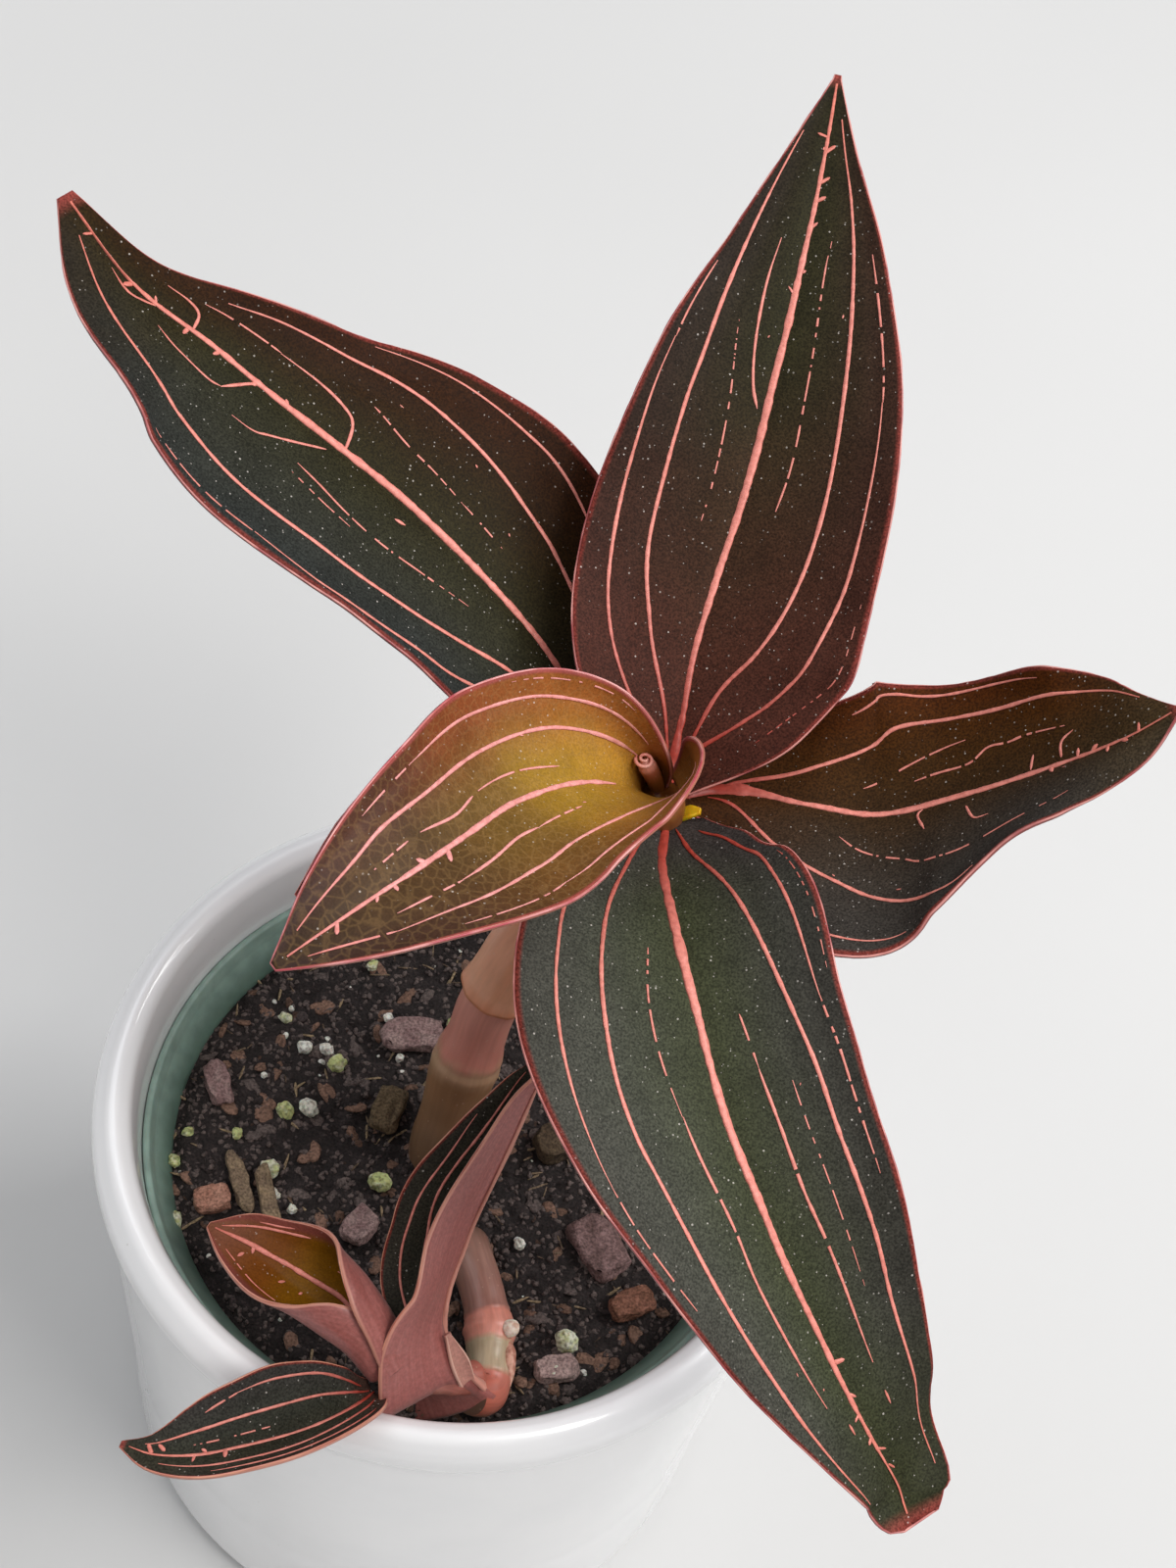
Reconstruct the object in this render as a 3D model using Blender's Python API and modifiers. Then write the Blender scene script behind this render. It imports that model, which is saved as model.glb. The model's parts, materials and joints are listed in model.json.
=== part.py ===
# Jewel orchid in a green nursery pot, standing in a white glazed cachepot.
# The frame: Z is up, the pot's axis is the Z axis, and the origin is the middle of the cachepot's foot.
# All the driving sizes are in millimetres and are turned to metres where the meshes are made.
import math
from collections import namedtuple

import bmesh
import bpy
import numpy as np

MM = 0.001
GAP = 0.3

# Cachepot: a thick glazed cup with a rolled lip.
POT_HEIGHT = 100.0
LIP_RADIUS = 55.0
LIP_INNER_RADIUS = 48.8
LIP_DEPTH = 7.0
BODY_TOP_RADIUS = 54.0
BODY_FOOT_RADIUS = 50.6
FOOT_ROUNDING = 4.0
POT_WALL = 3.6
POT_FLOOR = 5.0

# Nursery pot: a thin moulded pot that stands on the cachepot's floor.
NURSERY_RIM_HEIGHT = 89.5
NURSERY_RIM_RADIUS = 45.8
NURSERY_FOOT_RADIUS = 34.0
NURSERY_WALL = 1.0
NURSERY_FLOOR = 1.6
DRAIN_HOLES = 5
DRAIN_RADIUS = 4.0
DRAIN_RING = 20.0

# Potting mix.
SOIL_TOP = 83.0

# Leaves: the blade's thickness, and how finely a blade is divided along and across.
BLADE = 0.8
ALONG = 18
ACROSS = 8

# A station is a place on a leaf's midrib, with the half widths to its left and right seen from the
# leaf's base, and in degrees how far the blade leans about the midrib, how far each half folds up
# from it, and the arc that the cross-section curls through.
Station = namedtuple("Station", "x y z left right lean fold curl")
Leaf = namedtuple("Leaf", "stations face wave colour")

FACE_UP = (0, 0, 1)
FLAT = (0, 0, 0)
DARK_LEAF = (0.030, 0.034, 0.024)
OLIVE_LEAF = (0.20, 0.11, 0.02)
SHOOT_LEAF = (0.12, 0.04, 0.02)
RED_STEM = (0.32, 0.11, 0.08)

LEAVES = {
    "leaf_top": Leaf([
        Station(20.6, 22.3, 157.4, 3, 3, 0, 12, 30),
        Station(20.8, 29, 163.5, 13, 16, 0, 10, 30),
        Station(21, 37, 168.5, 17.5, 22, 0, 8, 30),
        Station(22.5, 47, 174.5, 19.5, 22, 0, 6, 30),
        Station(24.5, 59, 182, 19, 20.5, 0, 6, 25),
        Station(26, 73, 190.5, 16, 17.5, 0, 6, 25),
        Station(27.3, 87, 198, 10.5, 11.5, 0, 6, 20),
        Station(28.2, 101, 203.5, 5, 4.5, 0, 5, 10),
        Station(28.6, 113.5, 207, 0.5, 0.5, 0, 0, 0),
    ], FACE_UP, (0.6, 2.2, 0.5), DARK_LEAF),
    "leaf_upper_left": Leaf([
        Station(16.5, 22.3, 152.5, 3, 3, 0, 12, 30),
        Station(10, 30, 156.5, 11, 12, 0, 10, 30),
        Station(0, 38.3, 164.5, 18, 21, 0, 6, 25),
        Station(-12.8, 44, 173, 21, 24, 0, 5, 25),
        Station(-24.7, 48.5, 180, 23, 22, 0, 5, 20),
        Station(-37, 52, 186.5, 23, 15.5, 0, 4, 20),
        Station(-48.3, 55.8, 192.5, 20, 9.5, 0, 4, 20),
        Station(-60, 59.5, 198, 12.5, 5, 0, 4, 10),
        Station(-71, 66, 202.5, 1, 1, 0, 0, 0),
    ], FACE_UP, (0.8, 2.6, 1.0), DARK_LEAF),
    "leaf_right": Leaf([
        Station(21.9, 18.6, 152.2, 3, 3, 0, 12, 30),
        Station(31, 19.5, 155, 12, 14, -6, 10, 30),
        Station(40, 20, 158.5, 21, 24, -8, 8, 30),
        Station(48.6, 20.8, 162, 20, 26, -6, 8, 30),
        Station(56.3, 21.2, 167, 17, 22, 0, 8, 30),
        Station(63.5, 21.5, 173, 15.5, 14.5, 0, 8, 20),
        Station(70, 21.5, 179.5, 13, 10, 0, 8, 20),
        Station(76, 21.5, 186.5, 8.5, 5.5, 0, 5, 10),
        Station(81, 23, 192, 0.5, 0.5, 0, 0, 0),
    ], FACE_UP, (1.2, 2.6, 2.0), DARK_LEAF),
    "leaf_lower": Leaf([
        Station(20.0, 14.5, 156, 3, 3, 0, 10, 30),
        Station(20.8, 7, 160.5, 14, 12, 0, 8, 30),
        Station(23.2, -2, 163, 18.5, 21, 0, 6, 30),
        Station(27.5, -14, 162, 18.5, 25, 0, 6, 30),
        Station(33, -26, 158, 18.5, 23, 0, 6, 30),
        Station(40, -36.2, 152, 17.5, 18.5, 0, 6, 25),
        Station(48, -45.5, 144, 15.5, 14, 0, 6, 20),
        Station(57, -54, 134.5, 12, 8.5, 0, 5, 15),
        Station(67.3, -61.8, 124, 2, 2, 0, 0, 0),
    ], FACE_UP, (0.7, 2.0, 0.0), DARK_LEAF),
    "leaf_young": Leaf([
        Station(17.8, 17.8, 159.5, 5, 5, 0, 0, 280),
        Station(16.5, 15.5, 166, 9, 9, 0, 0, 270),
        Station(13.5, 11.8, 171.5, 14, 13, 0, 0, 210),
        Station(7.5, 7, 177, 16, 15.5, 0, 0, 130),
        Station(0.2, -0.5, 181.5, 16.5, 15.5, 0, 0, 90),
        Station(-5.5, -9.5, 185, 15.5, 13.5, 0, 0, 80),
        Station(-11.5, -18, 187.5, 11, 10.5, 0, 0, 70),
        Station(-17.8, -25.5, 188, 6, 6, 0, 0, 50),
        Station(-24, -31.5, 186, 0.5, 0.5, 0, 0, 20),
    ], (0.55, 0.45, 0.7), FLAT, OLIVE_LEAF),
    "leaf_behind": Leaf([
        Station(10.8, 18.6, 146.5, 3, 3, 0, 10, 30),
        Station(5, 19, 149, 9, 9, 0, 8, 30),
        Station(-3, 18, 152.5, 12, 10, 0, 8, 30),
        Station(-11, 14, 154.5, 12, 8.5, 0, 8, 30),
        Station(-19, 8, 154, 8, 4.5, 0, 6, 20),
        Station(-26.3, 0.2, 150, 0.5, 0.5, 0, 0, 0),
    ], FACE_UP, FLAT, DARK_LEAF),
    "shoot_leaf_over_rim": Leaf([
        Station(-5.6, -46.2, 98.6, 2, 2, 0, 10, 60),
        Station(-7.5, -49, 101, 4, 5, 0, 25, 40),
        Station(-11.3, -52.6, 103, 5, 8, 0, 30, 30),
        Station(-16.5, -56.2, 104.5, 5.5, 9.5, 0, 28, 30),
        Station(-22, -59.2, 105.5, 5, 8.5, 0, 25, 30),
        Station(-27.5, -61.5, 106, 4, 6.5, 0, 20, 20),
        Station(-33, -62.5, 106.3, 2.4, 3, 0, 10, 10),
        Station(-37.6, -61.8, 106.3, 0.4, 0.4, 0, 0, 0),
    ], FACE_UP, FLAT, DARK_LEAF),
    "shoot_leaf_rolled": Leaf([
        Station(-5.2, -42.3, 98, 3.5, 3.5, 0, 0, 280),
        Station(-8.5, -39.5, 100.5, 6.5, 6.5, 0, 0, 240),
        Station(-13, -37, 102, 7.5, 8.5, 0, 0, 170),
        Station(-18, -34.8, 103, 7, 9, 0, 0, 120),
        Station(-24, -32.2, 104.5, 5.5, 7, 0, 0, 90),
        Station(-28.6, -30.3, 105.5, 3.5, 4.5, 0, 0, 60),
        Station(-32.5, -28.7, 106, 0.4, 0.4, 0, 0, 20),
    ], (0.1, -0.1, 1), FLAT, SHOOT_LEAF),
    "shoot_leaf_upright": Leaf([
        Station(0.6, -41.5, 98.5, 3, 3, 0, 20, 120),
        Station(1.4, -37, 101.5, 6, 8, 0, 32, 60),
        Station(1.3, -32.6, 104.5, 9, 9, 0, 46, 40),
        Station(2.6, -26.9, 108, 10, 8.5, 0, 56, 30),
        Station(3.8, -22.4, 111, 10, 7.5, 0, 62, 20),
        Station(6.9, -14.3, 116.5, 7.5, 5.5, 0, 66, 10),
        Station(9, -7.5, 120.5, 4, 3, 0, 60, 10),
        Station(10.2, -2.5, 123.5, 0.4, 0.4, 0, 0, 0),
    ], (-0.8, 0.0, 0.6), FLAT, SHOOT_LEAF),
    "shoot_bract": Leaf([
        Station(5.2, -39.4, 96.2, 1.6, 1.6, 0, 0, 60),
        Station(4.2, -38.4, 98, 2, 2, 0, 0, 60),
        Station(3.2, -37.4, 100.6, 0.4, 0.4, 0, 0, 20),
    ], (-0.2, 0.6, 0.5), FLAT, SHOOT_LEAF),
    "yellow_bract": Leaf([
        Station(23.0, 17.6, 155.9, 1, 1, 0, 0, 40),
        Station(25.0, 16.6, 157.4, 1.2, 1.2, 0, 0, 40),
        Station(26.8, 15.8, 158.4, 0.4, 0.4, 0, 0, 20),
    ], FACE_UP, FLAT, (0.75, 0.55, 0.03)),
}

# Stems: points on the axis with the radius there.
Ring = namedtuple("Ring", "x y z radius")

MAIN_STEM = [
    Ring(-3, -1, 76, 4.4),
    Ring(-2.6, 0.2, 84, 4.6),
    Ring(-1.7, 3.7, 90.5, 4.6),
    Ring(-0.8, 7, 97, 5.1),
    Ring(0.4, 9.6, 104, 4.5),
    Ring(1.6, 12, 111, 4.4),
    Ring(5.5, 15, 124, 3.6),
    Ring(12, 17.3, 139, 3.5),
    Ring(17.2, 18.2, 150, 3.4),
    Ring(19.2, 18.5, 157.5, 3.0),
]
SHEATH_PATH = [
    Ring(2.1, 12.5, 113, 5.0),
    Ring(5.5, 15, 124, 4.8),
    Ring(8.6, 16.4, 131.5, 4.4),
    Ring(13.6, 17.6, 142.5, 4.1),
]
SHEATH_WALL = 0.6
SHEATH_SIDES = 14
RHIZOME = [
    Ring(4.6, -13, 79, 3.0),
    Ring(4.7, -17.2, 84.6, 3.4),
    Ring(7.2, -23, 86, 3.3),
    Ring(8.8, -27.4, 86, 3.3),
    Ring(9.4, -29.5, 86, 4.0),
    Ring(9.6, -31.4, 86, 3.3),
    Ring(9.9, -34.5, 86, 3.1),
    Ring(10.1, -37.4, 86, 3.3),
]
SHOOT_BASE = [
    Ring(9.0, -38.4, 90.9, 2.4),
    Ring(5.5, -40.2, 91.6, 3.2),
    Ring(1.5, -43, 93.8, 3.3),
    Ring(-2.5, -44.2, 95.6, 2.4),
]
AERIAL_ROOT = [
    Ring(13.9, -28.6, 87.0, 0.9),
    Ring(15.2, -28.3, 87.6, 1.2),
    Ring(16.2, -28.0, 87.4, 0.7),
]
ROOT_SCALE = [
    Ring(13.8, -32.4, 86.6, 0.9),
    Ring(14.4, -35.2, 86.0, 0.8),
    Ring(14.8, -38.0, 85.4, 0.4),
]
NEW_LEAF_ROLL = [
    Ring(19.4, 18.4, 158.2, 0.8),
    Ring(19.3, 18.2, 164, 1.2),
    Ring(18.3, 17.8, 169.5, 1.5),
    Ring(17.0, 17.2, 173, 0.9),
]

# Loose pieces of bark that lie on the mix: middle, length, width, thickness and turn in degrees.
Chip = namedtuple("Chip", "x y length width thickness turn")
BARK_CHIPS = [
    Chip(-9.6, 18.4, 11.5, 6.5, 2.2, 10),
    Chip(-38.0, 4.6, 9.0, 4.2, 2.0, 115),
    Chip(-35.0, -14.9, 6.5, 5.0, 2.2, 20),
    Chip(-12.3, -15.6, 7.0, 5.4, 2.6, 60),
    Chip(-11.3, 4.6, 9.0, 5.5, 2.4, 80),
    Chip(24.0, -12.6, 12.0, 8.0, 2.6, -50),
    Chip(30.0, -21.0, 8.0, 5.0, 2.4, 30),
    Chip(20.0, -33.0, 7.5, 4.6, 2.2, 15),
    Chip(16.0, 4.0, 10.0, 7.0, 3.0, 35),
    Chip(3.0, 31.0, 11.0, 7.0, 2.6, -20),
]
WOOD_SLIVERS = [
    Chip(-31.4, -11.6, 11.0, 2.0, 1.8, 118),
    Chip(-23.8, -21.6, 26.0, 2.0, 1.8, 111),
]


def material(name, colour, roughness, metallic=0.0):
    """Make a plain material in the part's colour."""
    made = bpy.data.materials.new(name)
    made.use_nodes = True
    shader = made.node_tree.nodes["Principled BSDF"]
    shader.inputs["Base Color"].default_value = (*colour, 1.0)
    shader.inputs["Roughness"].default_value = roughness
    shader.inputs["Metallic"].default_value = metallic
    return made


def put(name, data, collection, finish=None):
    """Put a mesh or a curve in the scene as one named object."""
    made = bpy.data.objects.new(name, data)
    collection.objects.link(made)
    if finish is not None:
        made.data.materials.append(finish)
    return made


def smooth_row(rows, per_span=10):
    """Run a Catmull-Rom curve through rows of numbers, the first three of which are a place."""
    rows = np.array(rows, float)
    padded = np.vstack([2 * rows[0] - rows[1], rows, 2 * rows[-1] - rows[-2]])
    found = []
    for before, start, end, after in zip(padded, padded[1:], padded[2:], padded[3:]):
        for step in range(per_span):
            t = step / per_span
            found.append(0.5 * (2 * start + (end - before) * t
                                + (2 * before - 5 * start + 4 * end - after) * t ** 2
                                + (3 * start - before - 3 * end + after) * t ** 3))
    found.append(rows[-1])
    return np.array(found)


def even_steps(rows, count):
    """Read a smooth row of stations at evenly spaced places along it."""
    fine = smooth_row(rows)
    steps = np.linalg.norm(np.diff(fine[:, :3], axis=0), axis=1)
    along = np.concatenate([[0.0], np.cumsum(steps)])
    places = np.linspace(0.0, along[-1], count)
    return np.stack([np.interp(places, along, fine[:, k]) for k in range(fine.shape[1])], axis=1)


def unit(vector):
    return vector / np.linalg.norm(vector)


def blade_offsets(half_width, place, fold, curl):
    """How far out and how far up a blade's point is, at place -1 to 1 across it."""
    reach = abs(place)
    half_arc = max(math.radians(curl) / 2, 0.001)
    out = math.sin(reach * half_arc) / half_arc * half_width
    up = (1 - math.cos(reach * half_arc)) / half_arc * half_width
    turn = math.radians(fold)
    return out * math.cos(turn) - up * math.sin(turn), out * math.sin(turn) + up * math.cos(turn)


def leaf_grid(leaf):
    """The points of a leaf's upper surface, row by row from its base to its tip."""
    stations = even_steps(leaf.stations, ALONG + 1)
    middle = stations[:, :3]
    tangents = np.gradient(middle, axis=0)
    height, count, phase = leaf.wave
    rows = []
    for index, station in enumerate(stations):
        tangent = unit(tangents[index])
        side = unit(np.cross(tangent, leaf.face))
        up = np.cross(side, tangent)
        lean = math.radians(station[5])
        side, up = (side * math.cos(lean) + up * math.sin(lean),
                    up * math.cos(lean) - side * math.sin(lean))
        row = []
        for place in np.linspace(-1, 1, ACROSS + 1):
            half_width = max(station[3] if place < 0 else station[4], 0.4)
            out, rise = blade_offsets(half_width, place, station[6], station[7])
            swell = math.sin(2 * math.pi * count * index / ALONG + phase + (1.3 if place > 0 else 0))
            rise += height * abs(place) ** 3 * swell * min(1, half_width / 8)
            row.append(middle[index] + side * out * np.sign(place) + up * rise)
        rows.append(row)
    return rows


def make_leaf(name, leaf, collection):
    """A leaf blade with its petiole: a lofted surface that Solidify gives its thickness."""
    rows = leaf_grid(leaf)
    mesh = bpy.data.meshes.new(name)
    shape = bmesh.new()
    grid = [[shape.verts.new(point * MM) for point in row] for row in rows]
    for low, high in zip(grid, grid[1:]):
        for left in range(ACROSS):
            shape.faces.new((low[left], low[left + 1], high[left + 1], high[left]))
    shape.to_mesh(mesh)
    shape.free()
    mesh.shade_smooth()
    made = put(name, mesh, collection, material(name, leaf.colour, 0.45))
    wall = made.modifiers.new("blade", "SOLIDIFY")
    wall.thickness = BLADE * MM
    wall.offset = -1
    return made


def make_tube(name, rings, collection, finish, sides=3, per_span=3):
    """A stem or a root: a curve through its rings, as thick at each as the ring's radius."""
    curve = bpy.data.curves.new(name, "CURVE")
    curve.dimensions = "3D"
    curve.bevel_depth = MM
    curve.bevel_resolution = sides
    curve.use_fill_caps = True
    points = smooth_row(rings, per_span)
    spline = curve.splines.new("POLY")
    spline.points.add(len(points) - 1)
    for point, (x, y, z, radius) in zip(spline.points, points):
        point.co = (x * MM, y * MM, z * MM, 1)
        point.radius = radius
    return put(name, curve, collection, finish)


def tube_mesh(name, rings, collection, extra):
    """The same tube as a closed mesh and a little thicker, to cut its bed in another piece."""
    wider = [ring._replace(radius=ring.radius + extra) for ring in rings]
    for end, inner in ((0, 1), (-1, -2)):
        last, before = np.array(rings[end][:3]), np.array(rings[inner][:3])
        wider[end] = Ring(*(last + unit(last - before) * 2 * extra), wider[end].radius)
    guide = make_tube(name + "_guide", wider, collection, None)
    bpy.context.view_layer.update()
    ready = guide.evaluated_get(bpy.context.evaluated_depsgraph_get())
    mesh = bpy.data.meshes.new_from_object(ready)
    bpy.data.objects.remove(guide)
    shape = bmesh.new()
    shape.from_mesh(mesh)
    bmesh.ops.remove_doubles(shape, verts=shape.verts, dist=0.01 * MM)
    bmesh.ops.recalc_face_normals(shape, faces=shape.faces)
    shape.to_mesh(mesh)
    shape.free()
    return put(name, mesh, collection)


def hide(cutter):
    cutter.hide_render = True
    cutter.display_type = "WIRE"


def cut(piece, cutter):
    """Cut one piece by another that isn't part of the object."""
    hide(cutter)
    step = piece.modifiers.new(cutter.name, "BOOLEAN")
    step.operation = "DIFFERENCE"
    step.object = cutter


def turned(name, profile, collection, finish, steps=48):
    """Turn a profile of (radius, height) pairs about the Z axis."""
    mesh = bpy.data.meshes.new(name)
    shape = bmesh.new()
    points = [shape.verts.new((radius * MM, 0, height * MM)) for radius, height in profile]
    for upper, lower in zip(points, points[1:]):
        shape.edges.new((upper, lower))
    shape.to_mesh(mesh)
    shape.free()
    made = put(name, mesh, collection, finish)
    screw = made.modifiers.new("turn", "SCREW")
    screw.steps = steps
    screw.render_steps = steps
    screw.use_merge_vertices = True
    screw.merge_threshold = 0.00001
    screw.use_smooth_shade = True
    return made


def arc(centre_radius, centre_height, size, start, end, count):
    """Points on a round stretch of a profile, its angles in degrees from straight out."""
    found = []
    for angle in np.linspace(math.radians(start), math.radians(end), count):
        found.append((centre_radius + size * math.cos(angle), centre_height + size * math.sin(angle)))
    return found


def make_outer_pot(collection):
    """The cachepot: a lip rolled outwards, a body that narrows a little, a rounded foot, a hollow."""
    lip_middle = (LIP_RADIUS + LIP_INNER_RADIUS) / 2
    lip_roll = LIP_DEPTH / 2
    under_lip = POT_HEIGHT - LIP_DEPTH - 1
    foot_centre = BODY_FOOT_RADIUS - FOOT_ROUNDING
    profile = [(0, POT_FLOOR), (BODY_FOOT_RADIUS - POT_WALL - 5, POT_FLOOR)]
    profile += [(BODY_FOOT_RADIUS - POT_WALL, POT_FLOOR + 5), (BODY_TOP_RADIUS - POT_WALL, under_lip)]
    profile += [(LIP_INNER_RADIUS, POT_HEIGHT - 2.5), (LIP_INNER_RADIUS + 0.8, POT_HEIGHT - 0.8)]
    profile += [(lip_middle - 1, POT_HEIGHT), (lip_middle + 1, POT_HEIGHT)]
    profile += arc(LIP_RADIUS - lip_roll, POT_HEIGHT - lip_roll, lip_roll, 70, -50, 5)
    profile += [(BODY_TOP_RADIUS, under_lip)]
    profile += arc(foot_centre, FOOT_ROUNDING, FOOT_ROUNDING, 0, -90, 5)
    profile += [(0, 0)]
    return turned("outer_pot", profile, collection,
                  material("white_glaze", (0.80, 0.80, 0.81), 0.18))


def make_nursery_pot(collection, cutters):
    """The thin green pot inside, with its turned rim and the drain holes in its floor."""
    foot = POT_FLOOR + GAP
    floor_top = foot + NURSERY_FLOOR
    rim = NURSERY_RIM_HEIGHT
    inner_rim = NURSERY_RIM_RADIUS - NURSERY_WALL
    profile = [(0, floor_top), (NURSERY_FOOT_RADIUS - NURSERY_WALL, floor_top)]
    profile += [(inner_rim - 0.6, rim - 8), (inner_rim, rim)]
    profile += [(NURSERY_RIM_RADIUS, rim), (NURSERY_RIM_RADIUS, rim - 6)]
    profile += [(NURSERY_RIM_RADIUS - 1.2, rim - 7), (NURSERY_FOOT_RADIUS, foot), (0, foot)]
    pot = turned("nursery_pot", profile, collection, material("green_plastic", (0.13, 0.28, 0.20), 0.45))
    for number in range(DRAIN_HOLES):
        angle = 2 * math.pi * number / DRAIN_HOLES
        bpy.ops.mesh.primitive_cylinder_add(
            vertices=16, radius=DRAIN_RADIUS * MM, depth=4 * NURSERY_FLOOR * MM,
            location=(DRAIN_RING * math.cos(angle) * MM, DRAIN_RING * math.sin(angle) * MM, foot * MM))
        drill = bpy.context.object
        drill.name = f"drain_{number + 1}"
        move_to(drill, cutters)
        cut(pot, drill)
    return pot


def move_to(piece, collection):
    for other in piece.users_collection:
        other.objects.unlink(piece)
    collection.objects.link(piece)


def make_soil(collection, cutters):
    """The potting mix, which fills the nursery pot and has the stem's and the rhizome's beds in it."""
    foot = POT_FLOOR + GAP + NURSERY_FLOOR + GAP
    rise = (SOIL_TOP - foot) / (NURSERY_RIM_HEIGHT - 8 - foot)
    top_radius = NURSERY_FOOT_RADIUS + (NURSERY_RIM_RADIUS - 0.6 - NURSERY_FOOT_RADIUS) * min(rise, 1)
    inside = NURSERY_WALL + 2 * GAP
    profile = [(0, SOIL_TOP), (top_radius - inside - 1, SOIL_TOP), (top_radius - inside, SOIL_TOP - 1)]
    profile += [(NURSERY_FOOT_RADIUS - inside, foot), (0, foot)]
    soil = turned("potting_mix", profile, collection, material("potting_mix", (0.020, 0.014, 0.012), 0.9))
    cut(soil, tube_mesh("stem_bed", MAIN_STEM[:4], cutters, GAP))
    cut(soil, tube_mesh("rhizome_bed", RHIZOME, cutters, GAP))
    return soil


def make_sheath(collection):
    """The orange leaf sheath, an open tube round the upper stem."""
    points = smooth_row(SHEATH_PATH, 3)
    mesh = bpy.data.meshes.new("stem_sheath")
    shape = bmesh.new()
    rings = []
    tangents = np.gradient(points[:, :3], axis=0)
    for (x, y, z, radius), tangent in zip(points, tangents):
        across = unit(np.cross(tangent, (0, 1, 0)))
        over = unit(np.cross(tangent, across))
        ring = []
        for number in range(SHEATH_SIDES):
            angle = 2 * math.pi * number / SHEATH_SIDES
            place = np.array((x, y, z)) + radius * (across * math.cos(angle) + over * math.sin(angle))
            ring.append(shape.verts.new(place * MM))
        rings.append(ring)
    for low, high in zip(rings, rings[1:]):
        for number in range(SHEATH_SIDES):
            after = (number + 1) % SHEATH_SIDES
            shape.faces.new((low[number], low[after], high[after], high[number]))
    bmesh.ops.recalc_face_normals(shape, faces=shape.faces)
    shape.to_mesh(mesh)
    shape.free()
    mesh.shade_smooth()
    made = put("stem_sheath", mesh, collection, material("orange_sheath", (0.55, 0.16, 0.07), 0.4))
    wall = made.modifiers.new("wall", "SOLIDIFY")
    wall.thickness = SHEATH_WALL * MM
    wall.offset = 1
    return made


def make_chip(name, chip, collection, finish):
    """A chip of bark or wood: a box with its corners drawn in unevenly, lying on the mix."""
    mesh = bpy.data.meshes.new(name)
    shape = bmesh.new()
    bmesh.ops.create_cube(shape, size=1)
    for number, corner in enumerate(sorted(shape.verts, key=lambda v: (v.co.z, v.co.y, v.co.x))):
        draw_in = 0.72 + 0.28 * abs(math.sin(2.1 * number + chip.x))
        corner.co.x *= chip.length * draw_in
        corner.co.y *= chip.width * (0.75 + 0.25 * abs(math.cos(1.7 * number + chip.y)))
        corner.co.z *= chip.thickness
    bmesh.ops.bevel(shape, geom=shape.edges, offset=chip.thickness * 0.2, segments=1, affect="EDGES")
    for vertex in shape.verts:
        vertex.co *= MM
    shape.to_mesh(mesh)
    shape.free()
    made = put(name, mesh, collection, finish)
    lift = SOIL_TOP + GAP + chip.thickness / 2
    made.location = (chip.x * MM, chip.y * MM, lift * MM)
    made.rotation_euler = (0, 0, math.radians(chip.turn))
    return made


def main():
    for old in list(bpy.data.objects):
        bpy.data.objects.remove(old)
    parts = bpy.data.collections.new("jewel_orchid")
    cutters = bpy.data.collections.new("cutters")
    bpy.context.scene.collection.children.link(parts)
    bpy.context.scene.collection.children.link(cutters)
    cutters.hide_render = True

    make_outer_pot(parts)
    make_nursery_pot(parts, cutters)
    make_soil(parts, cutters)

    make_tube("main_stem", MAIN_STEM, parts, material("stem_skin", (0.36, 0.14, 0.09), 0.45))
    make_sheath(parts)
    make_tube("new_leaf_roll", NEW_LEAF_ROLL, parts, material("new_leaf", OLIVE_LEAF, 0.45), 2, 2)
    make_tube("rhizome", RHIZOME, parts, material("rhizome_skin", (0.22, 0.10, 0.07), 0.5))
    make_tube("shoot_base", SHOOT_BASE, parts, material("shoot_base", RED_STEM, 0.45))
    make_tube("aerial_root", AERIAL_ROOT, parts, material("root_tip", (0.75, 0.66, 0.55), 0.5), 2, 2)
    make_tube("root_scale", ROOT_SCALE, parts, material("root_scale", (0.45, 0.30, 0.22), 0.6), 2, 2)

    for name, leaf in LEAVES.items():
        make_leaf(name, leaf, parts)

    bark = material("bark", (0.14, 0.07, 0.06), 0.85)
    for number, chip in enumerate(BARK_CHIPS):
        make_chip(f"bark_chip_{number + 1}", chip, parts, bark)
    wood = material("wood_sliver", (0.22, 0.13, 0.08), 0.8)
    for number, chip in enumerate(WOOD_SLIVERS):
        make_chip(f"wood_sliver_{number + 1}", chip, parts, wood)


main()
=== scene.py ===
# The looks of a jewel orchid in a green nursery pot that stands in a white glazed cachepot.
# Sizes are kept in millimetres, as in the part's source, and are turned to metres where a mesh is made.
import json
import math
import random
from collections import namedtuple

import bmesh
import bpy
import numpy as np
from bpy.props import FloatProperty, FloatVectorProperty, IntProperty, PointerProperty
from mathutils import Matrix, Vector, noise


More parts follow.
